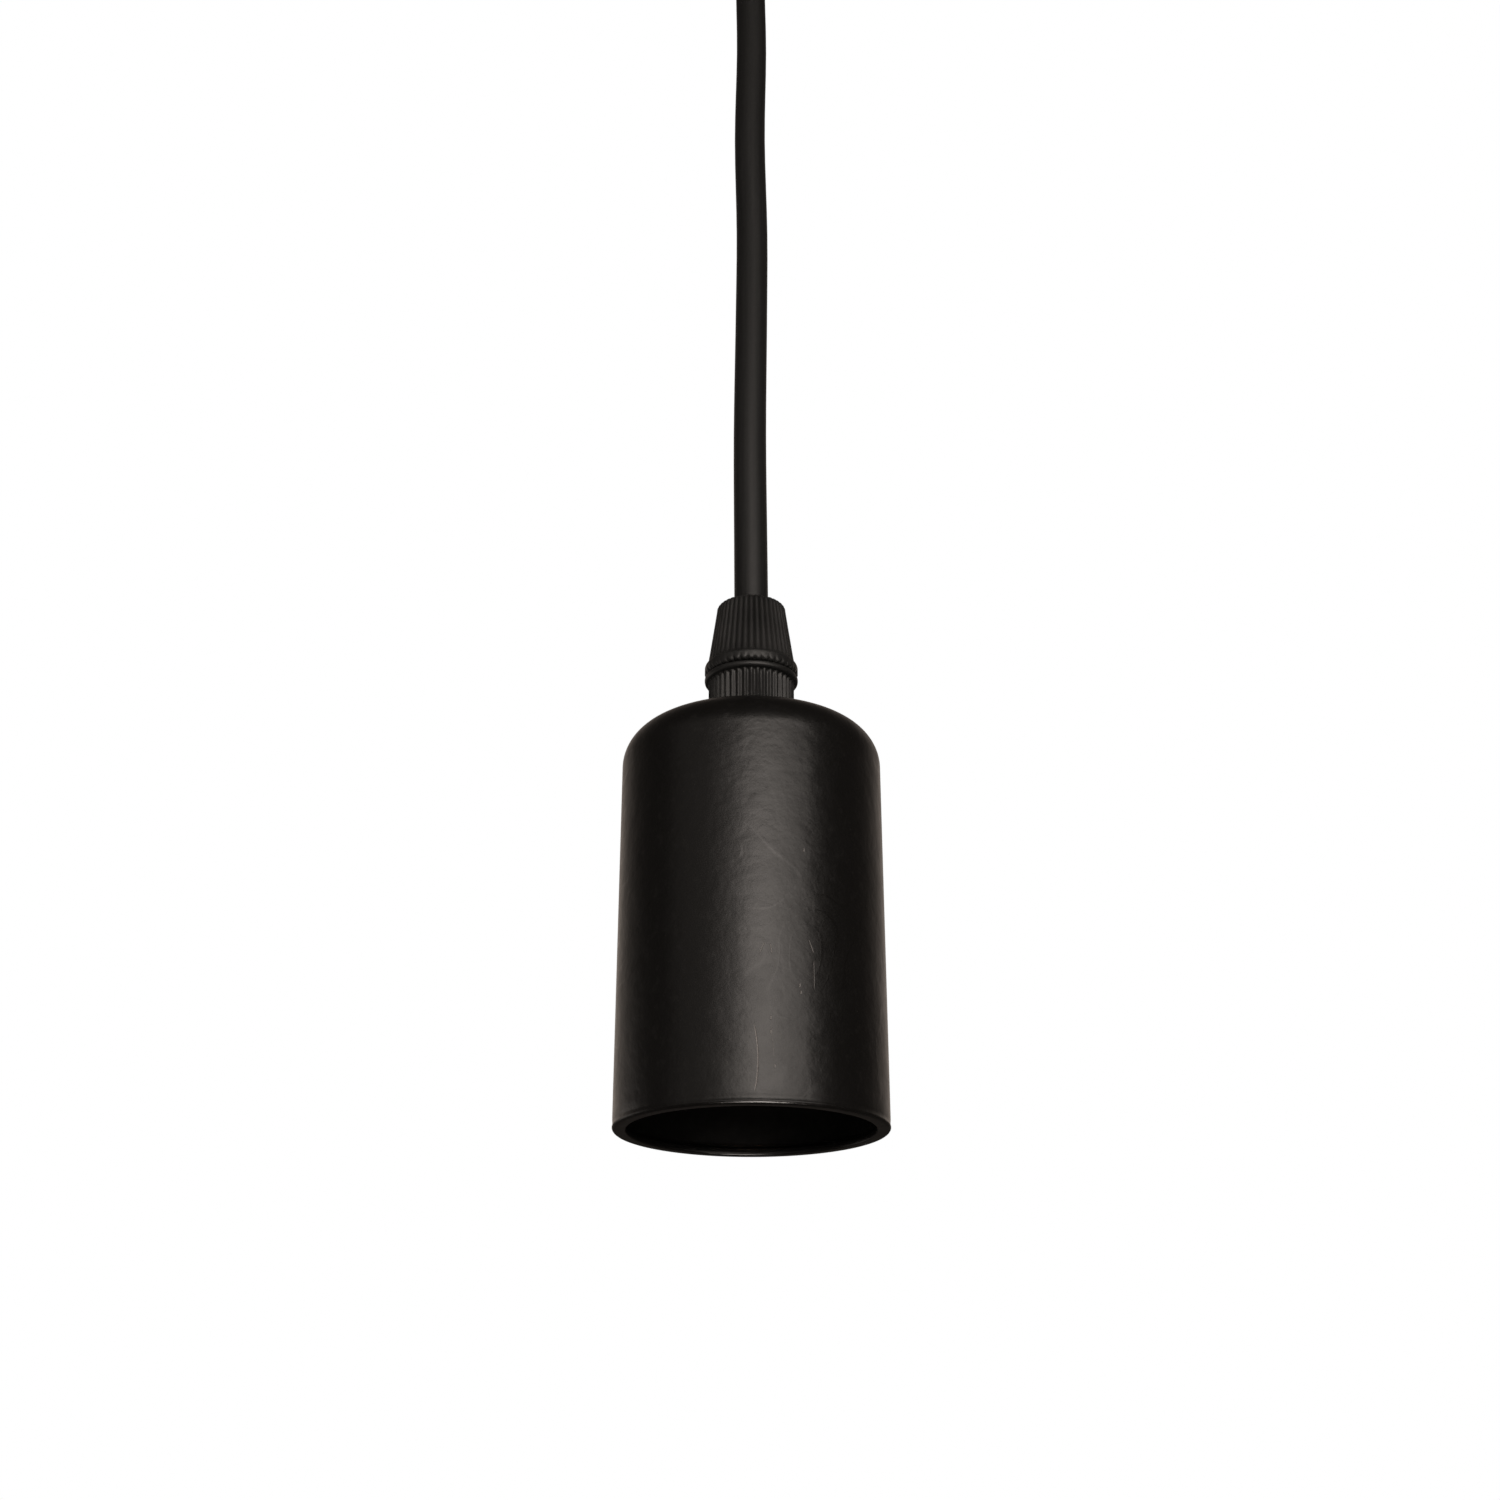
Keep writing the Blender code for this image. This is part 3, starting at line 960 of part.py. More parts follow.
def build():
    clear_scene()
    paint = make_material("satin_black_paint", (0.012, 0.011, 0.010), 0.42)
    nylon = make_material("black_nylon", (0.018, 0.018, 0.018), 0.5)
    jacket = make_material("black_jacket", (0.016, 0.016, 0.016), 0.45)
    moulding = make_material("black_moulding", (0.020, 0.019, 0.018), 0.35)
    ceramic = make_material("white_ceramic", (0.72, 0.70, 0.66), 0.3)
    brass = make_material("brass", (0.72, 0.52, 0.22), 0.35, 1.0)
    bronze = make_material("spring_bronze", (0.70, 0.42, 0.20), 0.35, 1.0)
    nickel = make_material("nickelled_sheet", (0.66, 0.64, 0.60), 0.3, 1.0)
    steel = make_material("zinc_plated_steel", (0.60, 0.61, 0.63), 0.4, 1.0)
    white_nylon = make_material("white_nylon", (0.75, 0.75, 0.72), 0.5)
    cores = [make_material("brown_core", (0.16, 0.06, 0.02), 0.5),
             make_material("blue_core", (0.03, 0.13, 0.45), 0.5),
             make_material("green_core", (0.10, 0.36, 0.06), 0.5)]

    ceiling = make_empty("ceiling", 0.0)
    holder = make_empty("holder", HOLDER_Z)

    make_bracket(ceiling, steel)
    make_rose_cup(ceiling, paint)
    make_rose_screws(ceiling, paint)
    make_rose_grip(ceiling, nylon)
    make_hex_nut("ceiling_lock_nut", ceiling, steel, -ROSE_DEPTH + ROSE_SHEET + GAP + LOCK_NUT_THICKNESS)
    make_strip(ceiling, white_nylon, brass, steel)
    make_rose_cores(ceiling, cores)

    make_cord(ceiling, jacket)

    make_cup(holder, paint)
    make_grip_body(holder, nylon)
    make_grip_nut(holder, nylon)
    make_earth_tag(holder, steel)
    make_hex_nut("lock_nut", holder, steel, LOCK_NUT_TOP)
    make_cap(holder, moulding)
    make_bush(holder, brass)
    make_grub_screw(holder, steel)
    make_skirt(holder, moulding)
    make_block(holder, ceramic)
    make_screw_shell(holder, nickel)
    make_centre_contact(holder, bronze)
    make_shell_contact(holder, brass)
    make_terminal("live", -1, 0.0, holder, brass, steel)
    make_terminal("neutral", 1, NEUTRAL_LIFT, holder, brass, steel)
    make_holder_cores(holder, cores)


build()
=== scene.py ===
# %% [markdown]
# # A lamp socket on its cord
#
# A black metal cup hides a screw socket for a lamp. A fluted nylon grip holds the cup on a round cord,
# and a small ceiling rose holds the cord's other end. The solids come as a fixed frame in metres, with
# the ceiling at height zero. This lesson gives the frame its looks: it models the smooth pieces with
# Blender's own tools, makes a finish for every piece, and sets up the camera and the light.

# %% Load the frame
import json
import math

import bmesh
import bpy
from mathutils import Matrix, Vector


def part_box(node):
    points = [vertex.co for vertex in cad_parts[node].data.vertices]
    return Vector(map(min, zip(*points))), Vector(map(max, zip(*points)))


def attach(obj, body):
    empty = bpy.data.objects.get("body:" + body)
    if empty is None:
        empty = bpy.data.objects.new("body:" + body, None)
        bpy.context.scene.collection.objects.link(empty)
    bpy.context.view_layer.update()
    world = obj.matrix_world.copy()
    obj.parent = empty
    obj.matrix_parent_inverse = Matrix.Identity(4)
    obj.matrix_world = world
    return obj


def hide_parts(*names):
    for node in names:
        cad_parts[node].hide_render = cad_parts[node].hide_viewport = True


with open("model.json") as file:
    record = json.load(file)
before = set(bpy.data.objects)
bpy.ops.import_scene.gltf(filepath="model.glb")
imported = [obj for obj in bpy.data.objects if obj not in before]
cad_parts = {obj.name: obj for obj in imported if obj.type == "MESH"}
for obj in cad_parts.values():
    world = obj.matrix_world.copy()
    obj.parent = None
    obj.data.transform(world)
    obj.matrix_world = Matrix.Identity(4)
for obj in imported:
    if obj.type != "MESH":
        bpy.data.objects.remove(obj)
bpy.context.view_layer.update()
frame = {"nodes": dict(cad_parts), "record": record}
nodes = frame["nodes"]
scene = bpy.context.scene
MM = 0.001
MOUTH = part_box("screw_shell")[1].z - 37.5 * MM
print("loaded", len(nodes), "nodes; the cup's mouth lies at", round(MOUTH / MM, 2), "mm")

# %% [markdown]
# ## The camera
#
# The photo was taken from just below the cup's mouth, close by, looking up. A camera was fitted to the
# outlines of cup, grip and cord, so the lens, the distance and the tilt are measured, not guessed.

# %% Set up the camera
LENS = 43.25
UPWARD_TILT = 22.914
BELOW_MOUTH = 58.94 * MM
camera_data = bpy.data.cameras.new("camera")
camera_data.lens = LENS
camera_data.sensor_width = 36
camera = bpy.data.objects.new("camera", camera_data)
camera.location = (-0.00024, -0.30514, MOUTH - BELOW_MOUTH)
camera.rotation_euler = (math.radians(90 + UPWARD_TILT), 0, 0)
scene.collection.objects.link(camera)
scene.camera = camera
print("camera", [round(value, 4) for value in camera.location])

# %% [markdown]
# ## The cord
#
# A round flexible cord is made by pushing a soft black jacket over twisted cores. It hangs taut under
# the cup's weight and keeps only a trace of the waves it had on its reel. A curve with a round bevel is
# the natural way to make it: the points carry the course and the thickness. The bevel itself is one metre
# and each point's radius scales it down, because a curve's box counts the radius of its points.

# %% Lay the cord
CORD_RADIUS = 3.22 * MM
CORD_COURSE = [(0, 0, -0.24680), (0, 0, -0.23235), (0, 0, -0.21790), (-0.00010, -0.00004, -0.20377),
               (-0.00025, -0.00010, -0.17905), (0.00005, 0.00002, -0.15079),
               (0.00018, 0.000072, -0.12960), (-0.00028, -0.000112, -0.10488),
               (0.00010, 0.00004, -0.08015), (-0.00020, -0.00008, -0.05896), (0, 0, -0.04130),
               (0, 0, -0.02720), (0, 0, -0.01310)]
CORD_SPACING = 6.2 * MM
FINE_STEPS = 24


def smooth_course(points, spacing):
    """Read evenly spread points from a smooth line through the points given."""
    points = [Vector(point) for point in points]
    ends = [points[0] * 2 - points[1]] + points + [points[-1] * 2 - points[-2]]
    fine = []
    for a, b, c, d in zip(ends, ends[1:], ends[2:], ends[3:]):
        for step in range(FINE_STEPS):
            t = step / FINE_STEPS
            fine.append(0.5 * ((2 * b) + (c - a) * t + (2 * a - 5 * b + 4 * c - d) * t ** 2
                               + (3 * b - a - 3 * c + d) * t ** 3))
    fine.append(points[-1])
    lengths = [0.0]
    for first, second in zip(fine, fine[1:]):
        lengths.append(lengths[-1] + (second - first).length)
    count = round(lengths[-1] / spacing)
    course = []
    place = 0
    for index in range(count + 1):
        wanted = lengths[-1] * index / count
        while place < len(fine) - 2 and lengths[place + 1] < wanted:
            place += 1
        share = (wanted - lengths[place]) / (lengths[place + 1] - lengths[place])
        course.append(fine[place].lerp(fine[place + 1], min(1.0, share)))
    return course


cord_curve = bpy.data.curves.new("cord_line", "CURVE")
cord_curve.dimensions = "3D"
cord_curve.bevel_depth = 1.0
cord_curve.bevel_resolution = 10
cord_curve.use_fill_caps = True
cord_points = smooth_course(CORD_COURSE, CORD_SPACING)
cord_line = cord_curve.splines.new("POLY")
cord_line.points.add(len(cord_points) - 1)
for place, point in zip(cord_line.points, cord_points):
    place.co = (*point, 1.0)
    place.radius = CORD_RADIUS
cord_line.use_smooth = True
cord = bpy.data.objects.new("hanging_cord", cord_curve)
scene.collection.objects.link(cord)
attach(cord, "root")
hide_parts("cord")
print("cord of", len(cord_points), "points")

# %% [markdown]
# ## The world
#
# The socket was shot against white. What the camera sees behind the object is plain white. What the gloss
# sees is the room: white behind the object, dim in front and below. A panorama of a studio would do the
# same, but a few nodes need no picture and are easy to tune. So the Light Path node gives camera rays
# white, and gloss and glass rays a white that falls off with the direction.

# %% Define the node helpers
def add_node(tree, kind, settings=None, **inputs):
    """Add a node, set its properties, and fill or link its inputs by socket name or number."""
    node = tree.nodes.new(kind)
    for key, value in (settings or {}).items():
        setattr(node, key, value)
    for key, value in inputs.items():
        by_number = key.startswith("in") and key[2:].isdigit()
        socket = node.inputs[int(key[2:]) if by_number else key]
        if isinstance(value, bpy.types.NodeSocket):
            tree.links.new(value, socket)
        else:
            socket.default_value = value
    return node


def mathed(tree, operation, *values, clamp=False):
    """Add a Math node for one operation on up to three values and give its output."""
    node = tree.nodes.new("ShaderNodeMath")
    node.operation = operation
    node.use_clamp = clamp
    for socket, value in zip(node.inputs, values):
        if isinstance(value, bpy.types.NodeSocket):
            tree.links.new(value, socket)
        else:
            socket.default_value = value
    return node.outputs[0]


print("node helpers ready")

# %% Make the world
world = bpy.data.worlds.new("white_room")
scene.world = world
world.use_nodes = True
tree = world.node_tree
tree.nodes.clear()
ROOM_DIM = 0.03
ROOM_TINT = (1.0, 0.85, 0.74, 1)
WHITE_FROM = 0.2
WHITE_POWER = 3.0
HORIZON_TOP = 0.2
UNDER_HORIZON = 0.02
PLAIN_TINT = (1, 0.97, 0.94, 1)
PLAIN_LIGHT = 0.35
direction = add_node(tree, "ShaderNodeTexCoord").outputs["Generated"]
toward = add_node(tree, "ShaderNodeSeparateXYZ", in0=direction)
backwards = mathed(tree, "SUBTRACT", toward.outputs["Y"], WHITE_FROM)
backwards = mathed(tree, "DIVIDE", backwards, 1 - WHITE_FROM, clamp=True)
behind = mathed(tree, "POWER", backwards, WHITE_POWER)
above = add_node(tree, "ShaderNodeMapRange", {"interpolation_type": "SMOOTHSTEP"},
                 in0=toward.outputs["Z"], in1=0.0, in2=HORIZON_TOP, in3=UNDER_HORIZON, in4=1.0).outputs[0]
glow = mathed(tree, "MULTIPLY_ADD", mathed(tree, "MULTIPLY", behind, above), 1 - ROOM_DIM, ROOM_DIM)
paths = add_node(tree, "ShaderNodeLightPath").outputs
seen_in_gloss = mathed(tree, "MAXIMUM", paths["Is Glossy Ray"], paths["Is Transmission Ray"])
plain = add_node(tree, "ShaderNodeBackground", Color=PLAIN_TINT, Strength=PLAIN_LIGHT)
room = add_node(tree, "ShaderNodeBackground", Color=ROOM_TINT, Strength=glow)
white = add_node(tree, "ShaderNodeBackground", Color=(1, 1, 1, 1), Strength=1.0)
first_mix = add_node(tree, "ShaderNodeMixShader", in0=seen_in_gloss, in1=plain.outputs[0],
                     in2=room.outputs[0])
last_mix = add_node(tree, "ShaderNodeMixShader", in0=paths["Is Camera Ray"], in1=first_mix.outputs[0],
                    in2=white.outputs[0])
add_node(tree, "ShaderNodeOutputWorld", in0=last_mix.outputs[0])
print("world made")

# %% [markdown]
# ## The lamps
#
# The photo's highlight comes from one large softbox in front of the socket, a little to the right and
# brighter in its middle, and weaker light comes from the left. Area lamps of about that size and place
# draw the same long highlight down the cup, which a point lamp can't do. A small low lamp gives the lower
# edges of rim and grip their glint, and a weak lamp behind and to the left lets the back show its form.

# %% Place the lamps
AIM = Vector((0, 0, MOUTH + 45 * MM))
WARM = (1.0, 0.91, 0.84)


def add_softbox(name, azimuth, elevation, distance, size, radiance, colour):
    """A rectangular lamp whose face glows with the radiance asked, turned towards the cup."""
    lamp = bpy.data.lights.new(name, "AREA")
    lamp.shape = "RECTANGLE"
    lamp.size, lamp.size_y = size
    lamp.energy = math.pi * radiance * size[0] * size[1]
    lamp.color = colour
    box = bpy.data.objects.new(name, lamp)
    turn, rise = math.radians(azimuth), math.radians(elevation)
    away = Vector((math.sin(turn) * math.cos(rise), -math.cos(turn) * math.cos(rise), math.sin(rise)))
    box.location = AIM + away * distance
    box.rotation_euler = away.to_track_quat("Z", "Y").to_euler()
    box.visible_camera = False
    scene.collection.objects.link(box)
    print(name, "lamp of", round(lamp.energy, 2), "watts")


add_softbox("key", 20, 8, 0.90, (0.92, 0.66), 2.25, WARM)
add_softbox("key_middle", 10, 13, 0.88, (0.44, 0.26), 2.3, WARM)
add_softbox("key_edge", -13, 8, 0.88, (0.34, 0.58), 0.8, WARM)
add_softbox("fill", -44, 14, 0.90, (0.78, 0.80), 0.18, WARM)
add_softbox("low", 12, -62, 0.80, (0.34, 0.40), 22.0, WARM)
add_softbox("back", 240, -8, 0.95, (0.55, 0.55), 0.5, WARM)

# %% [markdown]
# ## The floor
#
# The floor lies far below the lamp socket. It is pale to the camera, which sees a little glow on it, and
# hidden from gloss, because the underside of the cup's rim is dark in the photo.

# %% Lay the floor
FLOOR_SIZE = 2.4
FLOOR_HEIGHT = -0.9
FLOOR_GLOW = 0.7
bpy.ops.object.select_all(action="DESELECT")
bpy.ops.mesh.primitive_plane_add(size=FLOOR_SIZE, location=(0, 0, FLOOR_HEIGHT))
floor = bpy.context.object
floor.name = "floor"
floor.visible_glossy = False
floor_paint = bpy.data.materials.new("pale_floor")
floor_paint.use_nodes = True
floor_shader = floor_paint.node_tree.nodes["Principled BSDF"]
floor_shader.inputs["Base Color"].default_value = (0.8, 0.8, 0.8, 1)
floor_shader.inputs["Roughness"].default_value = 0.9
floor_shader.inputs["Emission Color"].default_value = (1, 1, 1, 1)
seen = add_node(floor_paint.node_tree, "ShaderNodeLightPath").outputs["Is Camera Ray"]
floor_paint.node_tree.links.new(mathed(floor_paint.node_tree, "MULTIPLY", seen, FLOOR_GLOW),
                                floor_shader.inputs["Emission Strength"])
floor.data.materials.append(floor_paint)
print("floor laid at", FLOOR_HEIGHT, "m")

# %% [markdown]
# ## Rings, the way a turned piece is modelled
#
# Nearly every piece here is turned, drawn or moulded round an axis. By hand such a piece is modelled from
# one circle: it is extruded, each new ring is scaled to its radius, and so on down the profile. A spin of
# a drawn line would do the same, but rings also take flutes, because the points of a ring can be scaled
# in groups.

# %% Define how rings are stacked
def start_ring(name, radius, place, steps, filled=False, sideways=False):
    """Add one circle, filled or open, and stay in edit mode with all of it selected."""
    bpy.ops.object.select_all(action="DESELECT")
    bpy.ops.mesh.primitive_circle_add(vertices=steps, radius=radius, location=place,
                                      rotation=(0, math.pi / 2 if sideways else 0, 0),
                                      fill_type="NGON" if filled else "NOTHING")
    piece = bpy.context.object
    piece.name = name
    bpy.ops.object.transform_apply(location=True, rotation=True, scale=True)
    bpy.ops.object.mode_set(mode="EDIT")
    bpy.ops.mesh.select_all(action="SELECT")
    return piece


def ring_stack(name, profile, steps, base=MOUTH):
    """Extrude and scale a circle down a profile of radius and height over the base, in millimetres."""
    radius, height = profile[0]
    piece = start_ring(name, radius * MM, (0, 0, base + height * MM), steps)
    for next_radius, next_height in profile[1:]:
        bpy.ops.mesh.extrude_region_move(
            TRANSFORM_OT_translate={"value": (0, 0, (next_height - height) * MM)})
        share = next_radius / radius
        bpy.ops.transform.resize(value=(share, share, 1),
                                 center_override=(0, 0, base + next_height * MM))
        radius, height = next_radius, next_height
    return piece


print("ring tools ready")

# %% [markdown]
# A stack that ends where it began leaves its last ring on its first one. So the doubled points are merged
# before the faces are turned outwards. The shading is then smooth, except at edges that are sharper than
# an angle.

# %% Define how a piece is closed
MERGE_DISTANCE = 2e-6


def close_skin():
    """Merge doubled points, turn the faces outwards and leave edit mode."""
    bpy.ops.mesh.select_all(action="SELECT")
    bpy.ops.mesh.remove_doubles(threshold=MERGE_DISTANCE)
    bpy.ops.mesh.normals_make_consistent(inside=False)
    bpy.ops.object.mode_set(mode="OBJECT")


def close_piece(piece, nodes_replaced, finish, angle=35):
    """Close the skin, shade it smoothly up to an angle, paint it and hand the piece to the frame."""
    close_skin()
    bpy.ops.object.shade_smooth_by_angle(angle=math.radians(angle))
    piece.data.materials.clear()
    piece.data.materials.append(finish)
    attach(piece, "root")
    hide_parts(*nodes_replaced)
    print(piece.name, len(piece.data.polygons), "faces")
    return piece


print("pieces are closed with points merged within", MERGE_DISTANCE, "m")

# %% [markdown]
# ## Effects that several finishes share
#
# A real surface is never one even colour. Four small node groups give the variation, and each gives out
# only a mask, so every material sets its own amounts. The first is a grain, for what moulding, spraying
# or extruding leaves. A noise whose middle values are stretched to the full range is enough for it.

# %% Make the grain group
def new_group(name, inputs, outputs):
    """Start a node group with float inputs (name: default) and float outputs."""
    group = bpy.data.node_groups.new(name, "ShaderNodeTree")
    for label, default in inputs.items():
        socket = group.interface.new_socket(label, in_out="INPUT", socket_type="NodeSocketFloat")
        socket.default_value = default
    for label in outputs:
        group.interface.new_socket(label, in_out="OUTPUT", socket_type="NodeSocketFloat")
    entry = group.nodes.new("NodeGroupInput")
    leave = group.nodes.new("NodeGroupOutput")
    return group, entry.outputs, leave.inputs


grain, given, result = new_group(
    "surface grain", {"Scale": 800.0, "Detail": 4.0, "From": 0.3, "To": 0.7}, ["Mask"])
spot = add_node(grain, "ShaderNodeTexCoord").outputs["Object"]
noise = add_node(grain, "ShaderNodeTexNoise", Vector=spot, Scale=given["Scale"], Detail=given["Detail"])
level = add_node(grain, "ShaderNodeMapRange", in0=noise.outputs["Fac"], in1=given["From"],
                 in2=given["To"])
grain.links.new(level.outputs[0], result["Mask"])
print("made the group", grain.name)

# %% [markdown]
# Drawn and extruded pieces carry fine lines along their length. They are the same noise, read through
# coordinates that are stretched: many steps across the piece and few along it.

# %% Make the streak group
streak, given, result = new_group(
    "upright streaks", {"Across": 900.0, "Along": 12.0, "From": 0.35, "To": 0.65}, ["Mask"])
spot = add_node(streak, "ShaderNodeTexCoord").outputs["Object"]
parts = add_node(streak, "ShaderNodeSeparateXYZ", in0=spot).outputs
wide = add_node(streak, "ShaderNodeCombineXYZ",
                in0=mathed(streak, "MULTIPLY", parts["X"], given["Across"]),
                in1=mathed(streak, "MULTIPLY", parts["Y"], given["Across"]),
                in2=mathed(streak, "MULTIPLY", parts["Z"], given["Along"]))
noise = add_node(streak, "ShaderNodeTexNoise", Vector=wide.outputs[0], Scale=1.0, Detail=3.0)
level = add_node(streak, "ShaderNodeMapRange", in0=noise.outputs["Fac"], in1=given["From"],
                 in2=given["To"])
streak.links.new(level.outputs[0], result["Mask"])
print("made the group", streak.name)

# %% [markdown]
# A scratch is a thin line at one known place. A painted mask would need a picture, so the line is
# measured instead: how far each point lies round the piece from its front, and how high over the mouth,
# both in millimetres. The line may lean and bow between its two ends, where it fades out.

# %% Make the scratch group
scratch, given, result = new_group(
    "one scratch", {"Around": 0.0, "Top": 10.0, "Bottom": 0.0, "Lean": 0.0, "Bow": 0.0, "Width": 0.1,
                    "Weight": 1.0, "Radius": 23.5}, ["Mask"])
spot = add_node(scratch, "ShaderNodeTexCoord").outputs["Object"]
parts = add_node(scratch, "ShaderNodeSeparateXYZ", in0=spot).outputs
front = mathed(scratch, "MULTIPLY", parts["Y"], -1.0)
around = mathed(scratch, "MULTIPLY", mathed(scratch, "ARCTAN2", parts["X"], front), given["Radius"])
height = mathed(scratch, "MULTIPLY", mathed(scratch, "SUBTRACT", parts["Z"], MOUTH), 1 / MM)
share = mathed(scratch, "DIVIDE", mathed(scratch, "SUBTRACT", height, given["Bottom"]),
               mathed(scratch, "SUBTRACT", given["Top"], given["Bottom"]))
rest = mathed(scratch, "SUBTRACT", 1.0, share)
bulge = mathed(scratch, "MULTIPLY", mathed(scratch, "MULTIPLY", share, rest), 4.0)
line = mathed(scratch, "ADD", given["Around"],
              mathed(scratch, "ADD", mathed(scratch, "MULTIPLY", given["Lean"], share),
                     mathed(scratch, "MULTIPLY", given["Bow"], bulge)))
aside = mathed(scratch, "ABSOLUTE", mathed(scratch, "SUBTRACT", around, line))
cover = mathed(scratch, "SUBTRACT", 1.0, mathed(scratch, "DIVIDE", aside, given["Width"]), clamp=True)
ends = mathed(scratch, "MULTIPLY", mathed(scratch, "MULTIPLY", bulge, 3.0, clamp=True), cover)
scratch.links.new(mathed(scratch, "MULTIPLY", ends, given["Weight"]), result["Mask"])
print("made the group", scratch.name)

# %% [markdown]
# A wiping hand leaves thin curved lines. The contour lines of a soft noise have that look: the noise is
# multiplied, its whole number is cut off, and a thin band round the middle of the rest is kept. A second
# noise lets the lines show only in patches.

# %% Make the smear group
smear, given, result = new_group(
    "smear lines",
    {"Scale": 60.0, "Lines": 9.0, "Thin": 0.12, "Patch": 45.0, "From": 0.5, "To": 0.62}, ["Mask"])
spot = add_node(smear, "ShaderNodeTexCoord").outputs["Object"]
swirl = add_node(smear, "ShaderNodeTexNoise", Vector=spot, Scale=given["Scale"], Detail=1.0)
turns = mathed(smear, "FRACT", mathed(smear, "MULTIPLY", swirl.outputs["Fac"], given["Lines"]))
aside = mathed(smear, "ABSOLUTE", mathed(smear, "SUBTRACT", turns, 0.5))
line = mathed(smear, "SUBTRACT", 1.0, mathed(smear, "DIVIDE", aside, given["Thin"]), clamp=True)
patch = add_node(smear, "ShaderNodeTexNoise", Vector=spot, Scale=given["Patch"], Detail=3.0)
where = add_node(smear, "ShaderNodeMapRange", in0=patch.outputs["Fac"], in1=given["From"],
                 in2=given["To"])
smear.links.new(mathed(smear, "MULTIPLY", line, where.outputs[0]), result["Mask"])
print("made the group", smear.name)

# %% [markdown]
# ## Finishes
#
# A Principled shader covers every surface here. Numbers that are the same all over are set on its own
# sockets, and what changes over the surface comes from the groups above. Four helpers do what every
# finish needs: start it, place a group in it, stretch a mask between two values and mix two colours. A
# fifth turns a height into small bumps.

# %% Define the finish helpers
def new_finish(name, colour, roughness, metallic=0.0):
    """Start a Principled material and give it with its tree and its shader node."""
    finish = bpy.data.materials.new(name)
    finish.use_nodes = True
    shader = finish.node_tree.nodes["Principled BSDF"]
    shader.inputs["Base Color"].default_value = (*colour, 1)
    shader.inputs["Roughness"].default_value = roughness
    shader.inputs["Metallic"].default_value = metallic
    finish.diffuse_color = (*colour, 1)
    return finish, finish.node_tree, shader


def effect(tree, group, **inputs):
    """Place a node group with its own values and give its mask."""
    node = tree.nodes.new("ShaderNodeGroup")
    node.node_tree = group
    for label, value in inputs.items():
        node.inputs[label].default_value = value
    return node.outputs["Mask"]


def vary(tree, mask, low, high):
    """Turn a mask into a value between two ends."""
    return add_node(tree, "ShaderNodeMapRange", in0=mask, in1=0.0, in2=1.0, in3=low, in4=high).outputs[0]


def blend_colours(tree, mask, first, second):
    """Mix two colours, or colour sockets, by a mask. The node has its colours at inputs 6 and 7."""
    node = tree.nodes.new("ShaderNodeMix")
    node.data_type = "RGBA"
    tree.links.new(mask, node.inputs["Factor"])
    for socket, value in ((node.inputs[6], first), (node.inputs[7], second)):
        if isinstance(value, bpy.types.NodeSocket):
            tree.links.new(value, socket)
        else:
            socket.default_value = (*value, 1)
    return node.outputs[2]


def roughen(tree, shader, height, strength, distance):
    """Feed a height through a Bump node into the shader's Normal."""
    bump = add_node(tree, "ShaderNodeBump", Strength=strength, Distance=distance, Height=height)
    tree.links.new(bump.outputs[0], shader.inputs["Normal"])


print("finish helpers ready")

# %% [markdown]
# ## The paint
#
# The cup wears a thin satin enamel: nearly black, with a slight orange peel, faint rub marks and a few
# fine scratches and chips that show the paler primer. The photo shows where they are, so each one is
# listed with its place and its length, and the paint holds one scratch group for each.

# %% List the scratches and the chips
# Around runs round the cup from its front, and Top and Bottom are heights over the mouth, in mm.
# Lean and Bow are how far the line strays sideways, in mm, and Weight is how much of it shows.
LINES = [dict(Around=0.48, Top=12.8, Bottom=1.9, Lean=-0.10, Bow=0.58, Width=0.16),
         dict(Around=3.56, Top=12.8, Bottom=7.5, Lean=-0.40, Width=0.09, Weight=0.4),
         dict(Around=1.33, Top=26.3, Bottom=24.5, Lean=0.81, Width=0.14, Weight=0.7),
         dict(Around=3.35, Top=26.1, Bottom=24.5, Lean=-0.32, Width=0.13, Weight=0.7),
         dict(Around=10.48, Top=27.3, Bottom=25.1, Lean=-0.88, Width=0.14, Weight=0.5),
         dict(Around=10.52, Top=23.8, Bottom=19.0, Lean=-0.02, Width=0.10, Weight=0.45)]
CHIPS = [(3.12, 13.74), (3.11, 11.49), (3.73, 5.99), (7.94, 19.4), (8.15, 18.25), (8.95, 42.7)]
HALF_CHIP = 0.32
LINES += [dict(Around=across, Top=up + HALF_CHIP, Bottom=up - HALF_CHIP, Width=0.15, Weight=0.75)
          for across, up in CHIPS]
PIT = dict(Around=10.75, Top=54.6, Bottom=53.8, Width=0.3)
print(len(LINES), "scratches and chips listed")

# %% Paint the cup
PAINT = (0.0032, 0.0029, 0.0026)
SCUFFED = (0.013, 0.012, 0.011)
PRIMER = (0.25, 0.225, 0.21)
PRIMER_SHOWING = 0.66
paint, tree, shader = new_finish("satin_black_paint", PAINT, 0.35)
peel = effect(tree, grain, Scale=900.0, Detail=3.0, From=0.3, To=0.7)
mottle = effect(tree, grain, Scale=260.0, Detail=5.0, From=0.35, To=0.65)
smudge = effect(tree, grain, Scale=75.0, Detail=5.0, From=0.45, To=0.72)
rub = effect(tree, grain, Scale=600.0, Detail=5.0, From=0.58, To=0.75)
wipes = effect(tree, smear, Scale=55.0, Lines=11.0, Thin=0.10, Patch=38.0, From=0.47, To=0.6)
marks = effect(tree, scratch, **LINES[0])
for values in LINES[1:]:
    marks = mathed(tree, "MAXIMUM", marks, effect(tree, scratch, **values))
pit = effect(tree, scratch, **PIT)
scuffed = blend_colours(tree, vary(tree, rub, 0.0, 0.3), PAINT, SCUFFED)
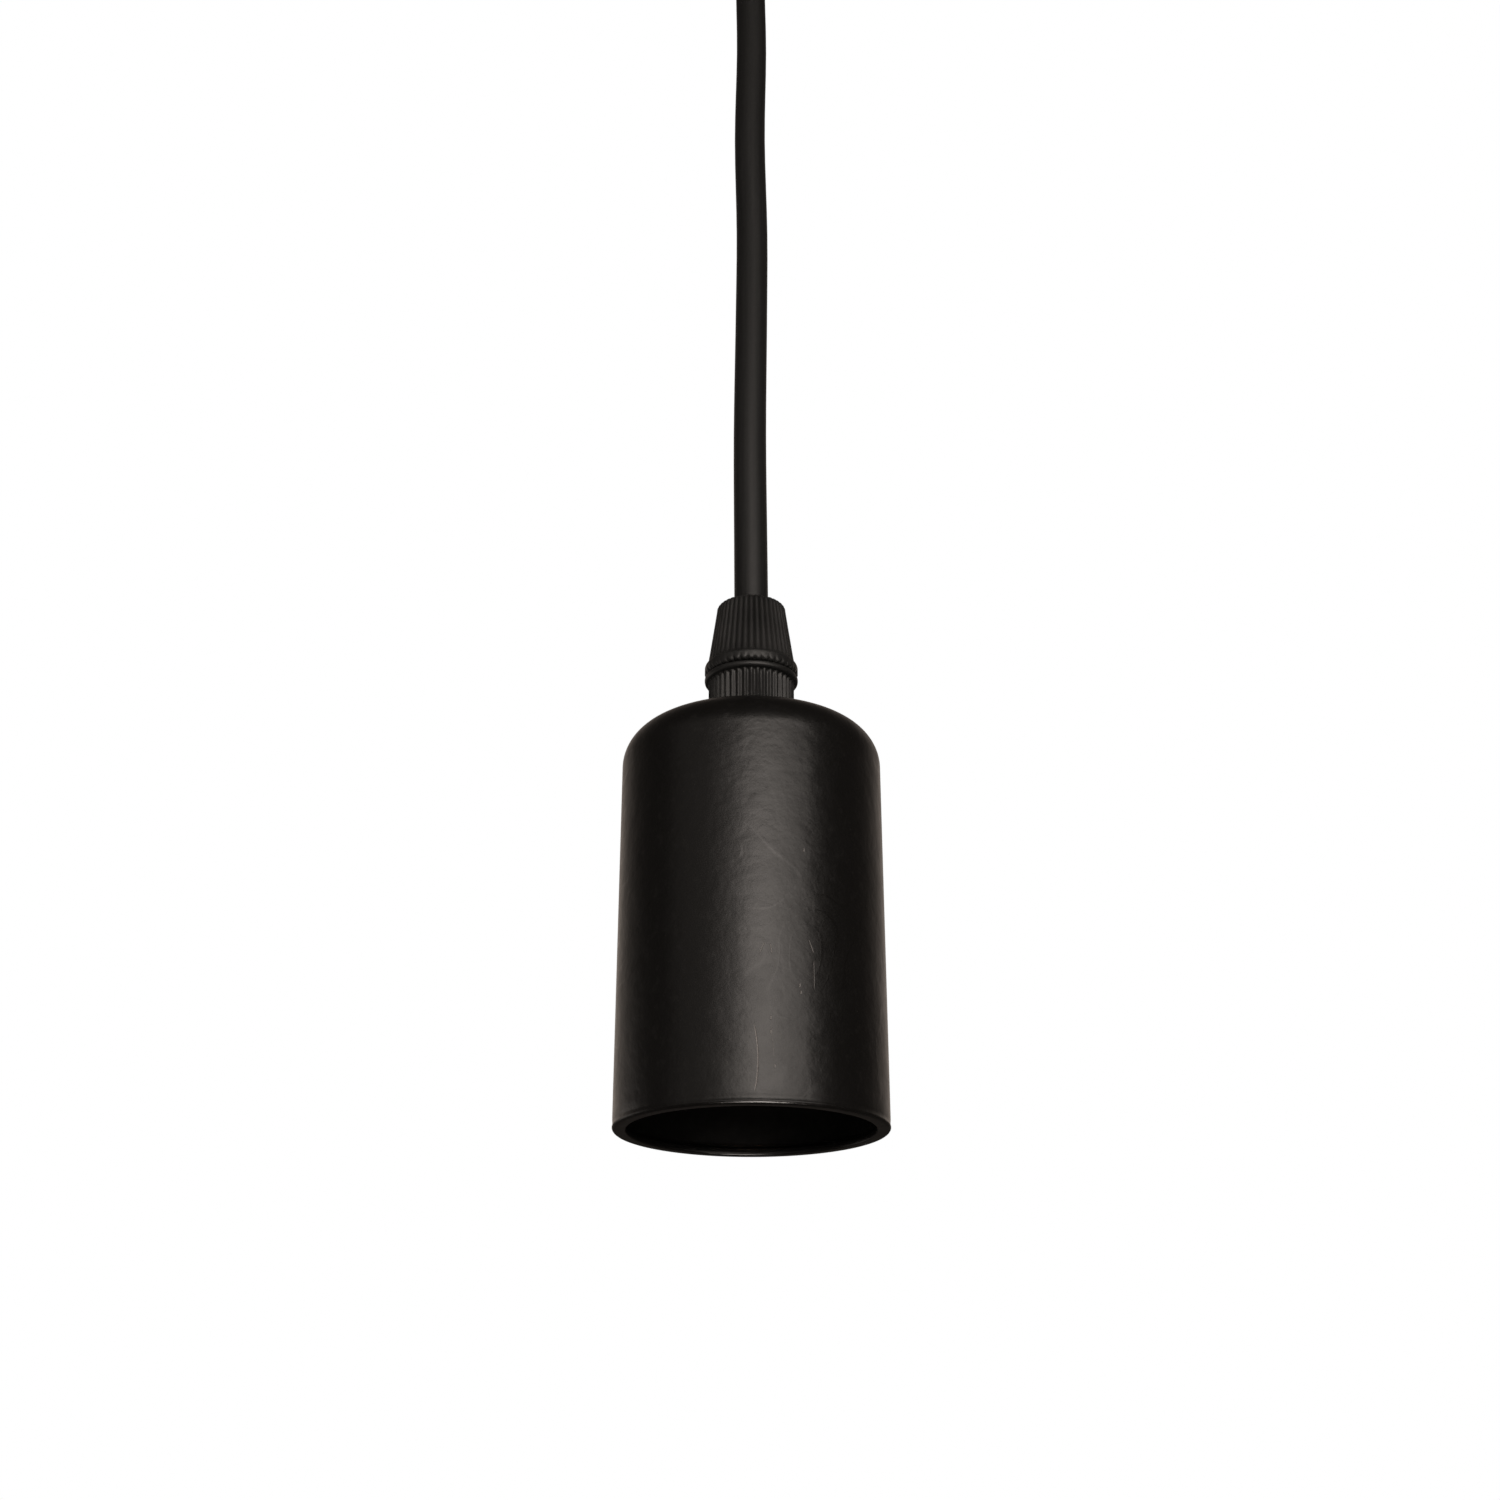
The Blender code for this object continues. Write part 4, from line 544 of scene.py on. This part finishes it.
tree.links.new(blend_colours(tree, mathed(tree, "MULTIPLY", marks, PRIMER_SHOWING), scuffed, PRIMER),
               shader.inputs["Base Color"])
dull = mathed(tree, "ADD", vary(tree, smudge, 0.325, 0.35), vary(tree, mottle, 0.0, 0.03))
dull = mathed(tree, "ADD", dull, vary(tree, rub, 0.0, 0.03))
dull = mathed(tree, "ADD", dull, mathed(tree, "MULTIPLY", wipes, -0.06))
tree.links.new(mathed(tree, "ADD", dull, mathed(tree, "MULTIPLY", pit, 0.5)), shader.inputs["Roughness"])
waves = mathed(tree, "MULTIPLY_ADD", peel, 0.3, mathed(tree, "MULTIPLY_ADD", wipes, 0.2, mottle))
roughen(tree, shader, mathed(tree, "SUBTRACT", waves, marks), 1.0, 0.04 * MM)
print("paint made with", len(LINES), "marks")

# %% [markdown]
# ## The black plastics
#
# The grip is moulded nylon, which is matt, with soft clouds where the melt flowed. The cord's jacket is
# extruded, so its lines run lengthwise. The holder inside is a glossier moulding. All three are dark, and
# what tells them apart is how they shine, so most of the work goes into the roughness.

# %% Make the grip's nylon
nylon, tree, shader = new_finish("black_nylon", (0.009, 0.009, 0.0085), 0.45)
skin = effect(tree, grain, Scale=2600.0, Detail=2.0, From=0.3, To=0.7)
flow = effect(tree, grain, Scale=160.0, Detail=4.0, From=0.4, To=0.7)
tree.links.new(blend_colours(tree, flow, (0.010, 0.010, 0.0096), (0.015, 0.0146, 0.014)),
               shader.inputs["Base Color"])
tree.links.new(vary(tree, flow, 0.41, 0.49), shader.inputs["Roughness"])
roughen(tree, shader, skin, 0.3, 0.01 * MM)
print("nylon made")

# %% Make the cord's jacket and the holder's moulding
jacket, tree, shader = new_finish("black_jacket", (0.008, 0.008, 0.008), 0.48)
drawn = effect(tree, streak, Across=2600.0, Along=30.0, From=0.3, To=0.7)
skin = effect(tree, grain, Scale=1500.0, Detail=3.0, From=0.35, To=0.65)
tree.links.new(blend_colours(tree, drawn, (0.006, 0.006, 0.006), (0.010, 0.010, 0.0096)),
               shader.inputs["Base Color"])
tree.links.new(vary(tree, skin, 0.44, 0.52), shader.inputs["Roughness"])
roughen(tree, shader, mathed(tree, "ADD", drawn, skin), 0.3, 0.01 * MM)

moulding, tree, shader = new_finish("black_moulding", (0.012, 0.011, 0.010), 0.32)
cloud = effect(tree, grain, Scale=220.0, Detail=5.0, From=0.35, To=0.7)
tree.links.new(blend_colours(tree, cloud, (0.010, 0.009, 0.008), (0.020, 0.016, 0.013)),
               shader.inputs["Base Color"])
tree.links.new(vary(tree, cloud, 0.28, 0.38), shader.inputs["Roughness"])
roughen(tree, shader, cloud, 0.2, 0.02 * MM)
print("jacket and moulding made")

# %% [markdown]
# ## The pale plastics and the ceramic
#
# The terminal strip is natural nylon, which lets a little light in, so it gets some subsurface light. The
# contact block is unglazed ceramic: off-white, a bit stained, and full of small pores.

# %% Make the white nylon and the ceramic
white_nylon, tree, shader = new_finish("white_nylon", (0.75, 0.75, 0.72), 0.5)
shader.inputs["Subsurface Weight"].default_value = 0.15
shader.inputs["Subsurface Radius"].default_value = (0.002, 0.002, 0.0015)
cloud = effect(tree, grain, Scale=140.0, Detail=4.0, From=0.35, To=0.65)
tree.links.new(blend_colours(tree, cloud, (0.72, 0.72, 0.68), (0.79, 0.78, 0.75)),
               shader.inputs["Base Color"])
tree.links.new(vary(tree, cloud, 0.42, 0.56), shader.inputs["Roughness"])
roughen(tree, shader, cloud, 0.2, 0.02 * MM)

ceramic, tree, shader = new_finish("white_ceramic", (0.72, 0.70, 0.66), 0.45)
pores = effect(tree, grain, Scale=1800.0, Detail=6.0, From=0.35, To=0.6)
cloud = effect(tree, grain, Scale=90.0, Detail=3.0, From=0.4, To=0.7)
tree.links.new(blend_colours(tree, cloud, (0.73, 0.71, 0.67), (0.62, 0.59, 0.54)),
               shader.inputs["Base Color"])
tree.links.new(vary(tree, pores, 0.62, 0.38), shader.inputs["Roughness"])
roughen(tree, shader, pores, 0.4, 0.03 * MM)
print("white nylon and ceramic made")

# %% [markdown]
# ## The metals
#
# Contacts, shell and screws are bare or plated metal. They differ in colour and shine and agree in the
# rest: duller clouds where air and fingers reached them, and fine handling lines. One function with five
# values makes them all, and a new metal is then one line.

# %% Make the metals
def metal_finish(name, colour, dull, shine, rough):
    """A bare or plated metal with fine handling marks and duller clouds."""
    finish, tree, shader = new_finish(name, colour, sum(rough) / 2, metallic=1.0)
    cloud = effect(tree, grain, Scale=260.0, Detail=6.0, From=0.35, To=0.68)
    fine = effect(tree, streak, Across=1900.0, Along=260.0, From=0.3, To=0.7)
    tree.links.new(blend_colours(tree, cloud, shine, dull), shader.inputs["Base Color"])
    uneven = mathed(tree, "ADD", vary(tree, cloud, rough[0], rough[1]), vary(tree, fine, 0.0, 0.08))
    tree.links.new(uneven, shader.inputs["Roughness"])
    roughen(tree, shader, fine, 0.25, 0.008 * MM)
    return finish


brass = metal_finish("brass", (0.72, 0.52, 0.22), (0.58, 0.41, 0.18), (0.78, 0.57, 0.26), (0.25, 0.38))
bronze = metal_finish("spring_bronze", (0.70, 0.42, 0.20), (0.55, 0.33, 0.17), (0.75, 0.46, 0.24),
                      (0.22, 0.36))
nickel = metal_finish("nickelled_sheet", (0.66, 0.64, 0.60), (0.56, 0.53, 0.49), (0.70, 0.68, 0.64),
                      (0.22, 0.34))
zinc = metal_finish("zinc_plated_steel", (0.60, 0.61, 0.63), (0.50, 0.51, 0.53), (0.66, 0.67, 0.69),
                    (0.32, 0.44))
print("four metals made")

# %% [markdown]
# ## The cores' insulations
#
# The three cores are told apart by colour: brown, blue, and green with a yellow stripe. The stripe runs
# along the core on two sides. It is placed by the direction in which the surface faces, because a core
# bends, and a plain coordinate wouldn't follow it.

# %% Make the core insulations
def core_finish(name, colour, darker):
    """A smooth, faintly uneven plastic skin. Gives its tree and shader too, for a stripe."""
    finish, tree, shader = new_finish(name, colour, 0.35)
    drawn = effect(tree, grain, Scale=700.0, Detail=3.0, From=0.35, To=0.65)
    tree.links.new(blend_colours(tree, drawn, colour, darker), shader.inputs["Base Color"])
    tree.links.new(vary(tree, drawn, 0.3, 0.42), shader.inputs["Roughness"])
    roughen(tree, shader, drawn, 0.2, 0.01 * MM)
    return finish, tree, shader


brown, _, _ = core_finish("brown_insulation", (0.16, 0.06, 0.02), (0.13, 0.05, 0.018))
blue, _, _ = core_finish("blue_insulation", (0.03, 0.13, 0.45), (0.025, 0.11, 0.38))
green, tree, shader = core_finish("green_insulation", (0.10, 0.36, 0.06), (0.08, 0.31, 0.05))
normal = add_node(tree, "ShaderNodeNewGeometry").outputs["Normal"]
facing = add_node(tree, "ShaderNodeSeparateXYZ", in0=normal).outputs["X"]
stripe = add_node(tree, "ShaderNodeMapRange", in0=mathed(tree, "ABSOLUTE", facing), in1=0.62, in2=0.7)
tree.links.new(blend_colours(tree, stripe.outputs[0], (0.09, 0.34, 0.05), (0.75, 0.62, 0.04)),
               shader.inputs["Base Color"])
print("three insulations made")

# %% [markdown]
# ## Hand the finishes to the frame's own solids
#
# The small pieces inside the cup and the rose keep the frame's shapes. Each takes the finish of its own
# slot in the record, by the name of the slot.

# %% Dress the frame's nodes
FINISHES = {"satin_black_paint": paint, "black_nylon": nylon, "black_jacket": jacket,
            "black_moulding": moulding, "white_ceramic": ceramic, "brass": brass,
            "spring_bronze": bronze, "nickelled_sheet": nickel, "zinc_plated_steel": zinc,
            "white_nylon": white_nylon, "brown_insulation": brown, "blue_insulation": blue,
            "green_insulation": green}
for part in frame["record"]["subparts"]:
    for place in nodes[part["node"]].material_slots:
        place.material = FINISHES[part["material_slot"]]
cord.data.materials.append(jacket)

# %% [markdown]
# ## The cup
#
# The cup is drawn from one round sheet. Its top is very slightly crowned, its shoulder is a plain round,
# and its mouth is rolled inwards, with a fine groove just above the roll where the sheet was pinched.
# Solidify could give a single skin its thickness, but it can't roll the edge. So the profile runs once
# round the sheet, outside and inside, and the piece is one closed skin.

# %% Draw the cup
def arc(centre_r, centre_z, radius, start, end, pieces):
    """Points of an arc in the plane of radius and height, angles in degrees."""
    points = []
    for index in range(pieces + 1):
        angle = math.radians(start + (end - start) * index / pieces)
        points.append((centre_r + radius * math.cos(angle), centre_z + radius * math.sin(angle)))
    return points


cup_outside = [(5.2, 73.3), (7.9, 73.3), (8.75, 73.29), (11.2, 73.24), (13.8, 73.09)]
cup_outside += arc(16.5, 65.85, 7.0, 90, 0, 26)
cup_outside += [(23.5, 58.0), (23.5, 46.0), (23.5, 34.0), (23.5, 22.0), (23.5, 10.0), (23.5, 3.0),
                (23.5, 1.8), (23.475, 1.5), (23.45, 1.25), (23.445, 1.08), (23.46, 0.9), (23.5, 0.7)]
cup_roll = [(23.53, 0.61), (23.545, 0.54), (23.54, 0.46), (23.5, 0.34), (23.4, 0.2), (23.25, 0.09),
            (23.05, 0.02), (22.85, 0.0), (22.2, 0.0), (21.6, 0.02), (21.38, 0.05), (21.3, 0.1),
            (21.26, 0.2), (21.26, 0.95), (21.4, 1.2), (21.68, 1.38), (22.0, 1.5), (22.3, 1.68),
            (22.46, 1.95)]
cup_inside = [(22.5, 2.4), (22.5, 12.0), (22.5, 24.0), (22.5, 40.0), (22.5, 56.0)]
cup_inside += arc(16.5, 65.85, 6.0, 0, 90, 12)
cup_inside += [(12.0, 72.1), (8.75, 72.3), (5.2, 72.3), (5.2, 73.3)]
cup = ring_stack("drawn_cup", cup_outside + cup_roll + cup_inside, 160)
close_piece(cup, ["outer_cup"], paint, 40)

# %% [markdown]
# ## The fluted grip
#
# The grip is moulded nylon: a body with a fluted collar and a smooth flange, and a conical nut whose
# flutes run over its rounded top. A fluted ring has eight points to a flute. After each extrusion the
# points are scaled in groups, from the crest to the bottom of the groove, by how deep that ring's
# grooves are. So a groove can fade in and out along the height, as the mould's does.

# %% Define the fluted stack
FLUTES = 40
ROUND_RIDGE = (0.0, 0.13, 0.5, 0.87, 1.0, 0.87, 0.5, 0.13)
FLAT_RIDGE = (0.0, 0.03, 0.14, 0.58, 1.0, 0.58, 0.14, 0.03)


def pick_ring(piece, ring, wanted):
    """Select those points of one ring that pass a test."""
    shape = bmesh.from_edit_mesh(piece.data)
    for vert in shape.verts:
        vert.select = vert.index in ring and wanted(vert.co)
    shape.select_flush_mode()
    bmesh.update_edit_mesh(piece.data)


def fluted_stack(name, levels, count, section):
    """Stack fluted rings. A level is its crest radius, its height and its groove depth, in mm."""
    steps = count * len(section)

    def depth_share(point):
        """How far down the groove this point of the ring lies, from 0 at the crest to 1."""
        turn = math.atan2(point.y, point.x) / math.tau
        return section[round(turn * steps) % len(section)]

    radius, height, _ = levels[0]
    piece = start_ring(name, radius * MM, (0, 0, MOUTH + height * MM), steps)
    before = {share: radius for share in set(section)}
    for index, (radius, next_height, depth) in enumerate(levels):
        if index:
            bpy.ops.mesh.extrude_region_move(
                TRANSFORM_OT_translate={"value": (0, 0, (next_height - height) * MM)})
            height = next_height
        level = MOUTH + height * MM
        ring = {vert.index for vert in bmesh.from_edit_mesh(piece.data).verts if vert.select}
        for share in set(section):
            wanted = radius - depth * share
            scale = wanted / before[share]
            before[share] = wanted
            if abs(scale - 1) < 1e-6:
                continue
            pick_ring(piece, ring, lambda point: depth_share(point) == share)
            bpy.ops.transform.resize(value=(scale, scale, 1), center_override=(0, 0, level))
        pick_ring(piece, ring, lambda point: True)
    return piece


print("fluted rings have", FLUTES * len(ROUND_RIDGE), "points")

# %% [markdown]
# The body is listed from the flat face that stands on the cup, up over the collar, the flange and the
# collet, then down the bore and up the threaded stem. The collar's flutes are evenly round ridges that
# fade out under the flange.

# %% Model the grip's body
collar_levels = [(4.9, 73.6, 0.0), (7.2, 73.6, 0.0), (7.75, 73.62, 0.3), (7.92, 73.75, 0.42),
                 (7.95, 74.0, 0.46), (7.95, 78.0, 0.46), (7.95, 81.7, 0.46), (7.96, 82.35, 0.44),
                 (7.97, 82.8, 0.4), (7.98, 83.02, 0.26), (8.0, 83.14, 0.1), (8.1, 83.2, 0.0),
                 (8.34, 83.24, 0.0), (8.54, 83.36, 0.0), (8.66, 83.54, 0.0), (8.7, 83.74, 0.0),
                 (8.7, 83.98, 0.0), (8.67, 84.14, 0.0), (8.58, 84.25, 0.0), (8.42, 84.3, 0.0),
                 (5.5, 84.3, 0.0),
                 (5.5, 90.8, 0.0), (4.47, 95.4, 0.0), (3.57, 95.4, 0.0), (3.57, 61.6, 0.0),
                 (4.4, 61.6, 0.0), (4.9, 62.1, 0.0), (4.9, 73.6, 0.0)]
grip_body = fluted_stack("cord_grip_body", collar_levels, FLUTES, ROUND_RIDGE)
close_piece(grip_body, ["grip_body"], nylon, 42)

# %% [markdown]
# The nut squeezes the collet round the cord. Its flange is notched at the lower edge, its cone has broad
# ridges with narrow grooves between them, and the grooves run out over the rounded top, so they get
# shallower with each ring of the shoulder.

# %% Model the grip's nut
nut_levels = [(5.8, 84.6, 0.0), (7.6, 84.6, 0.0), (8.3, 84.62, 0.42), (8.52, 84.74, 0.48),
              (8.64, 84.95, 0.4), (8.7, 85.2, 0.2), (8.7, 85.45, 0.05), (8.7, 86.1, 0.0),
              (8.69, 86.35, 0.0), (8.62, 86.54, 0.0), (8.47, 86.66, 0.0), (8.3, 86.7, 0.02),
              (8.22, 86.82, 0.12), (8.16, 87.05, 0.3), (8.08, 87.45, 0.4), (7.9, 88.6, 0.42),
              (7.2, 93.4, 0.42), (6.56, 97.9, 0.42)]
SHOULDER = 0.8
SHOULDER_CENTRE = (5.72, 98.35)
for angle in (15, 30, 45, 60, 75, 90):
    turn = math.radians(angle)
    nut_levels.append((SHOULDER_CENTRE[0] + SHOULDER * math.cos(turn),
                       SHOULDER_CENTRE[1] + SHOULDER * math.sin(turn), 0.42 - 0.06 * angle / 15))
nut_levels += [(4.6, 99.15, 0.0), (3.75, 99.15, 0.0), (3.57, 99.0, 0.0), (3.57, 97.85, 0.0),
               (4.77, 97.85, 0.0), (4.77, 95.7, 0.0), (5.8, 91.1, 0.0), (5.8, 84.6, 0.0)]
grip_nut = fluted_stack("cord_grip_nut", nut_levels, FLUTES, FLAT_RIDGE)
close_piece(grip_nut, ["grip_nut"], nylon, 42)

# %% [markdown]
# ## The screw socket inside the cup
#
# The holder's skirt is one smooth moulding: a rounded lip at its mouth, a straight wall, a soft swell up to
# the wider band, and inside it the ledge that carries the shell. It is stacked like the cup, with the
# swell drawn as half a cosine wave.

# %% Mould the skirt
skirt_profile = arc(14.7, 17.2, 0.7, 180, 270, 6) + arc(16.3, 17.2, 0.7, 270, 360, 6)
skirt_profile += [(17.0, 21.0), (17.0, 26.0)]
for step in range(11):
    swell = (1 - math.cos(math.pi * step / 10)) / 2
    skirt_profile.append((17.0 + 2.5 * swell, 30.9 + 3.5 * step / 10))
skirt_profile += [(19.5, 43.0), (19.5, 51.9), (19.38, 52.18), (19.1, 52.3), (18.0, 52.3), (18.0, 44.0),
                  (18.0, 36.8), (14.0, 36.8), (14.0, 27.0), (14.0, 17.2)]
skirt = ring_stack("moulded_skirt", skirt_profile, 128)
close_piece(skirt, ["holder_skirt"], moulding, 40)

# %% [markdown]
# The screw shell is rolled from one thin sheet, so its inside and its outside follow the same round
# thread, and the thread runs out into a plain rim at both ends. Stacked rings can't climb as a thread does.
# So the rings are stacked plain and close together, and each point is then moved inwards by the depth
# that the thread has at the point's own height and angle.

# %% Roll the screw shell
THREAD_PITCH = 3.629
THREAD_DEPTH = 1.05
THREAD_TURNS = 4
ROWS_IN_A_TURN = 14
SHELL_RADIUS = 13.3
SHELL_BACK = SHELL_RADIUS + 0.4
THREAD_TOP = 36.1
THREAD_FOOT = THREAD_TOP - THREAD_PITCH * THREAD_TURNS
thread_heights = [THREAD_TOP - THREAD_PITCH * row / ROWS_IN_A_TURN
                  for row in range(THREAD_TURNS * ROWS_IN_A_TURN + 1)]
shell_profile = [(SHELL_RADIUS, 37.5), (SHELL_RADIUS, 36.8)]
shell_profile += [(SHELL_RADIUS, height) for height in thread_heights]
shell_profile += [(SHELL_RADIUS, THREAD_FOOT - 0.85), (SHELL_RADIUS + 0.1, THREAD_FOOT - 1.0),
                  (SHELL_BACK - 0.1, THREAD_FOOT - 1.0), (SHELL_BACK, THREAD_FOOT - 0.85)]
shell_profile += [(SHELL_BACK, height) for height in reversed(thread_heights)]
shell_profile += [(SHELL_BACK, 36.9), (SHELL_BACK + 0.2, 37.1), (17.3, 37.1), (17.3, 37.5),
                  (SHELL_RADIUS, 37.5)]
shell = ring_stack("rolled_screw_shell", shell_profile, 96)
shell_mesh = bmesh.from_edit_mesh(shell.data)
for vert in shell_mesh.verts:
    height = (vert.co.z - MOUTH) / MM
    fade = min(1.0, (THREAD_TOP - height) / (THREAD_PITCH / 2),
               (height - THREAD_FOOT) / (THREAD_PITCH / 2))
    if fade > 0:
        phase = math.tau * height / THREAD_PITCH - math.atan2(vert.co.y, vert.co.x)
        inwards = THREAD_DEPTH / 2 * fade * (1 - math.cos(phase)) * MM
        vert.co.xy *= 1 - inwards / vert.co.xy.length
bmesh.update_edit_mesh(shell.data)
close_piece(shell, ["screw_shell"], nickel, 50)

# %% [markdown]
# ## The ceiling rose
#
# The cord goes up past the photo's edge, into a plain rose that stands in for the real fitting. Its cover
# is drawn from sheet like the cup. Its holes are cut with a Boolean modifier, because a hole in a round
# wall follows both shapes: one long cylinder through the middle makes both at once.

# %% Draw the rose's cover
HOLE_RADIUS = 2.3
SIDE_SCREW_HEIGHT = -7.0


def cut(piece, cutter):
    """Take a cutter out of a piece whose skin is closed, and go back to edit mode."""
    bpy.ops.object.mode_set(mode="OBJECT")
    bpy.ops.object.select_all(action="DESELECT")
    piece.select_set(True)
    bpy.context.view_layer.objects.active = piece
    modifier = piece.modifiers.new("cut", "BOOLEAN")
    modifier.solver = "EXACT"
    modifier.object = cutter
    bpy.ops.object.modifier_apply(modifier=modifier.name)
    bpy.data.objects.remove(cutter)
    bpy.ops.object.mode_set(mode="EDIT")


cover_profile = [(38.0, 0.0), (38.0, -4.0), (38.0, -10.0), (38.0, -16.0)]
cover_profile += arc(34.0, -21.0, 4.0, 0, -90, 14)
cover_profile += [(26.0, -25.0), (16.0, -25.0), (5.7, -25.0)] + arc(5.7, -24.5, 0.5, 270, 180, 4)
cover_profile += [(5.2, -24.0), (16.0, -24.0), (26.0, -24.0)] + arc(34.0, -21.0, 3.0, -90, 0, 10)
cover_profile += [(37.0, -16.0), (37.0, -10.0), (37.0, -4.0), (37.0, 0.0), (38.0, 0.0)]
cover = ring_stack("rose_cover", cover_profile, 144, base=0)
close_skin()
bpy.ops.object.select_all(action="DESELECT")
bpy.ops.mesh.primitive_cylinder_add(vertices=32, radius=HOLE_RADIUS * MM, depth=80 * MM,
                                    location=(0, 0, SIDE_SCREW_HEIGHT * MM),
                                    rotation=(0, math.pi / 2, 0))
cut(cover, bpy.context.object)
close_piece(cover, ["ceiling_cup"], paint, 40)

# %% [markdown]
# The cord lock at the cover's middle holds the cord's upper end. It is turned from nylon with rounded
# edges, so it is stacked in the same way, and a short cylinder cuts the hole for its screw on one side
# only.

# %% Turn the cord lock
LOCK_SCREW_HEIGHT = -32.8
lock_profile = [(3.57, -41.3), (4.9, -41.3)] + arc(5.0, -39.3, 2.0, 270, 360, 10)
lock_profile += [(7.0, -36.0), (7.0, -33.0), (7.0, -29.0)] + arc(6.5, -25.8, 0.5, 0, 90, 5)
lock_profile += [(4.9, -25.3), (4.9, -20.0), (4.9, -14.8), (4.4, -14.3), (3.57, -14.3), (3.57, -28.0),
                 (3.57, -41.3)]
lock = ring_stack("cord_lock", lock_profile, 96, base=0)
close_skin()
bpy.ops.object.select_all(action="DESELECT")
bpy.ops.mesh.primitive_cylinder_add(vertices=32, radius=HOLE_RADIUS * MM, depth=6 * MM,
                                    location=(5.5 * MM, 0, LOCK_SCREW_HEIGHT * MM),
                                    rotation=(0, math.pi / 2, 0))
cut(lock, bpy.context.object)
close_piece(lock, ["ceiling_grip"], nylon, 40)

# %% [markdown]
# Two screws hold the cover to its bracket and a third clamps the cord. They are turned like the rest, but
# they lie along the X axis. Their rings could be stacked upright and turned afterwards. Here they are
# stacked sideways at once, so that each mesh is made in its place. The slot is cut across the outer end.

# %% Define the slotted pin
SLOT_WIDTH = 1.0
SLOT_DEPTH = 0.6


def side_stack(name, profile, steps, height, side):
    """Stack a solid pin along X: a profile of radius and distance from the axis, in millimetres."""
    radius, reach = profile[0]
    piece = start_ring(name, radius * MM, (side * reach * MM, 0, height * MM), steps, filled=True,
                       sideways=True)
    for next_radius, next_reach in profile[1:]:
        bpy.ops.mesh.extrude_region_move(
            TRANSFORM_OT_translate={"value": (side * (next_reach - reach) * MM, 0, 0)})
        share = next_radius / radius
        bpy.ops.transform.resize(value=(1, share, share),
                                 center_override=(side * next_reach * MM, 0, height * MM))
        radius, reach = next_radius, next_reach
    return piece


def slotted_pin(name, node, profile, height, side, finish):
    """A pin along X with a screwdriver slot across its outer end."""
    pin = side_stack(name, profile, 40, height, side)
    close_skin()
    bpy.ops.object.select_all(action="DESELECT")
    end = side * profile[-1][1] * MM
    bpy.ops.mesh.primitive_cube_add(size=1, location=(end, 0, height * MM),
                                    scale=(2 * SLOT_DEPTH * MM, 10 * MM, SLOT_WIDTH * MM))
    cut(pin, bpy.context.object)
    return close_piece(pin, [node], finish)


print("screw slots are", SLOT_WIDTH, "mm wide")

# %% Turn the screws
side_screw_profile = [(1.7, 31.53), (2.0, 31.83), (2.0, 38.3), (3.4, 38.3), (3.6, 38.5), (3.6, 39.2),
                      (3.5, 39.6), (3.2, 39.95), (2.7, 40.18), (2.0, 40.3)]
side_screws = []
for name, side in (("left", -1), ("right", 1)):
    side_screws.append(slotted_pin(f"rose_screw_{name}", f"ceiling_screw_{name}", side_screw_profile,
                                   SIDE_SCREW_HEIGHT, side, paint))
lock_screw_profile = [(1.7, 3.52), (2.0, 3.8), (2.0, 7.35), (1.9, 7.52), (1.75, 7.6)]
lock_screw = slotted_pin("cord_lock_screw", "ceiling_grip_screw", lock_screw_profile,
                         LOCK_SCREW_HEIGHT, 1, nylon)

# %% [markdown]
# ## What the cord carries
#
# The cord is soft, so the frame has to know where it leaves the socket, how long and thick it is, and which
# pieces sit at its far end and move with it. Here those pieces are the whole ceiling rose. They are listed
# once, after all of them are there.

ceiling_pieces = [cover, lock, lock_screw, *side_screws, "ceiling_bracket", "ceiling_lock_nut",
                  "terminal_strip", "strip_fixing_screw", "live_supply_core", "neutral_supply_core",
                  "earth_supply_core"]
ceiling_pieces += [f"strip_sleeve_{way}" for way in (1, 2, 3)]
ceiling_pieces += [f"strip_screw_{way}_{end}" for way in (1, 2, 3) for end in ("near", "far")]
print("the cord carries", len(ceiling_pieces), "pieces at its far end")

# %% [markdown]
# ## Look settings
#
# The Standard view shows colours as they are written.

# %% Finish
scene.view_settings.view_transform = "Standard"
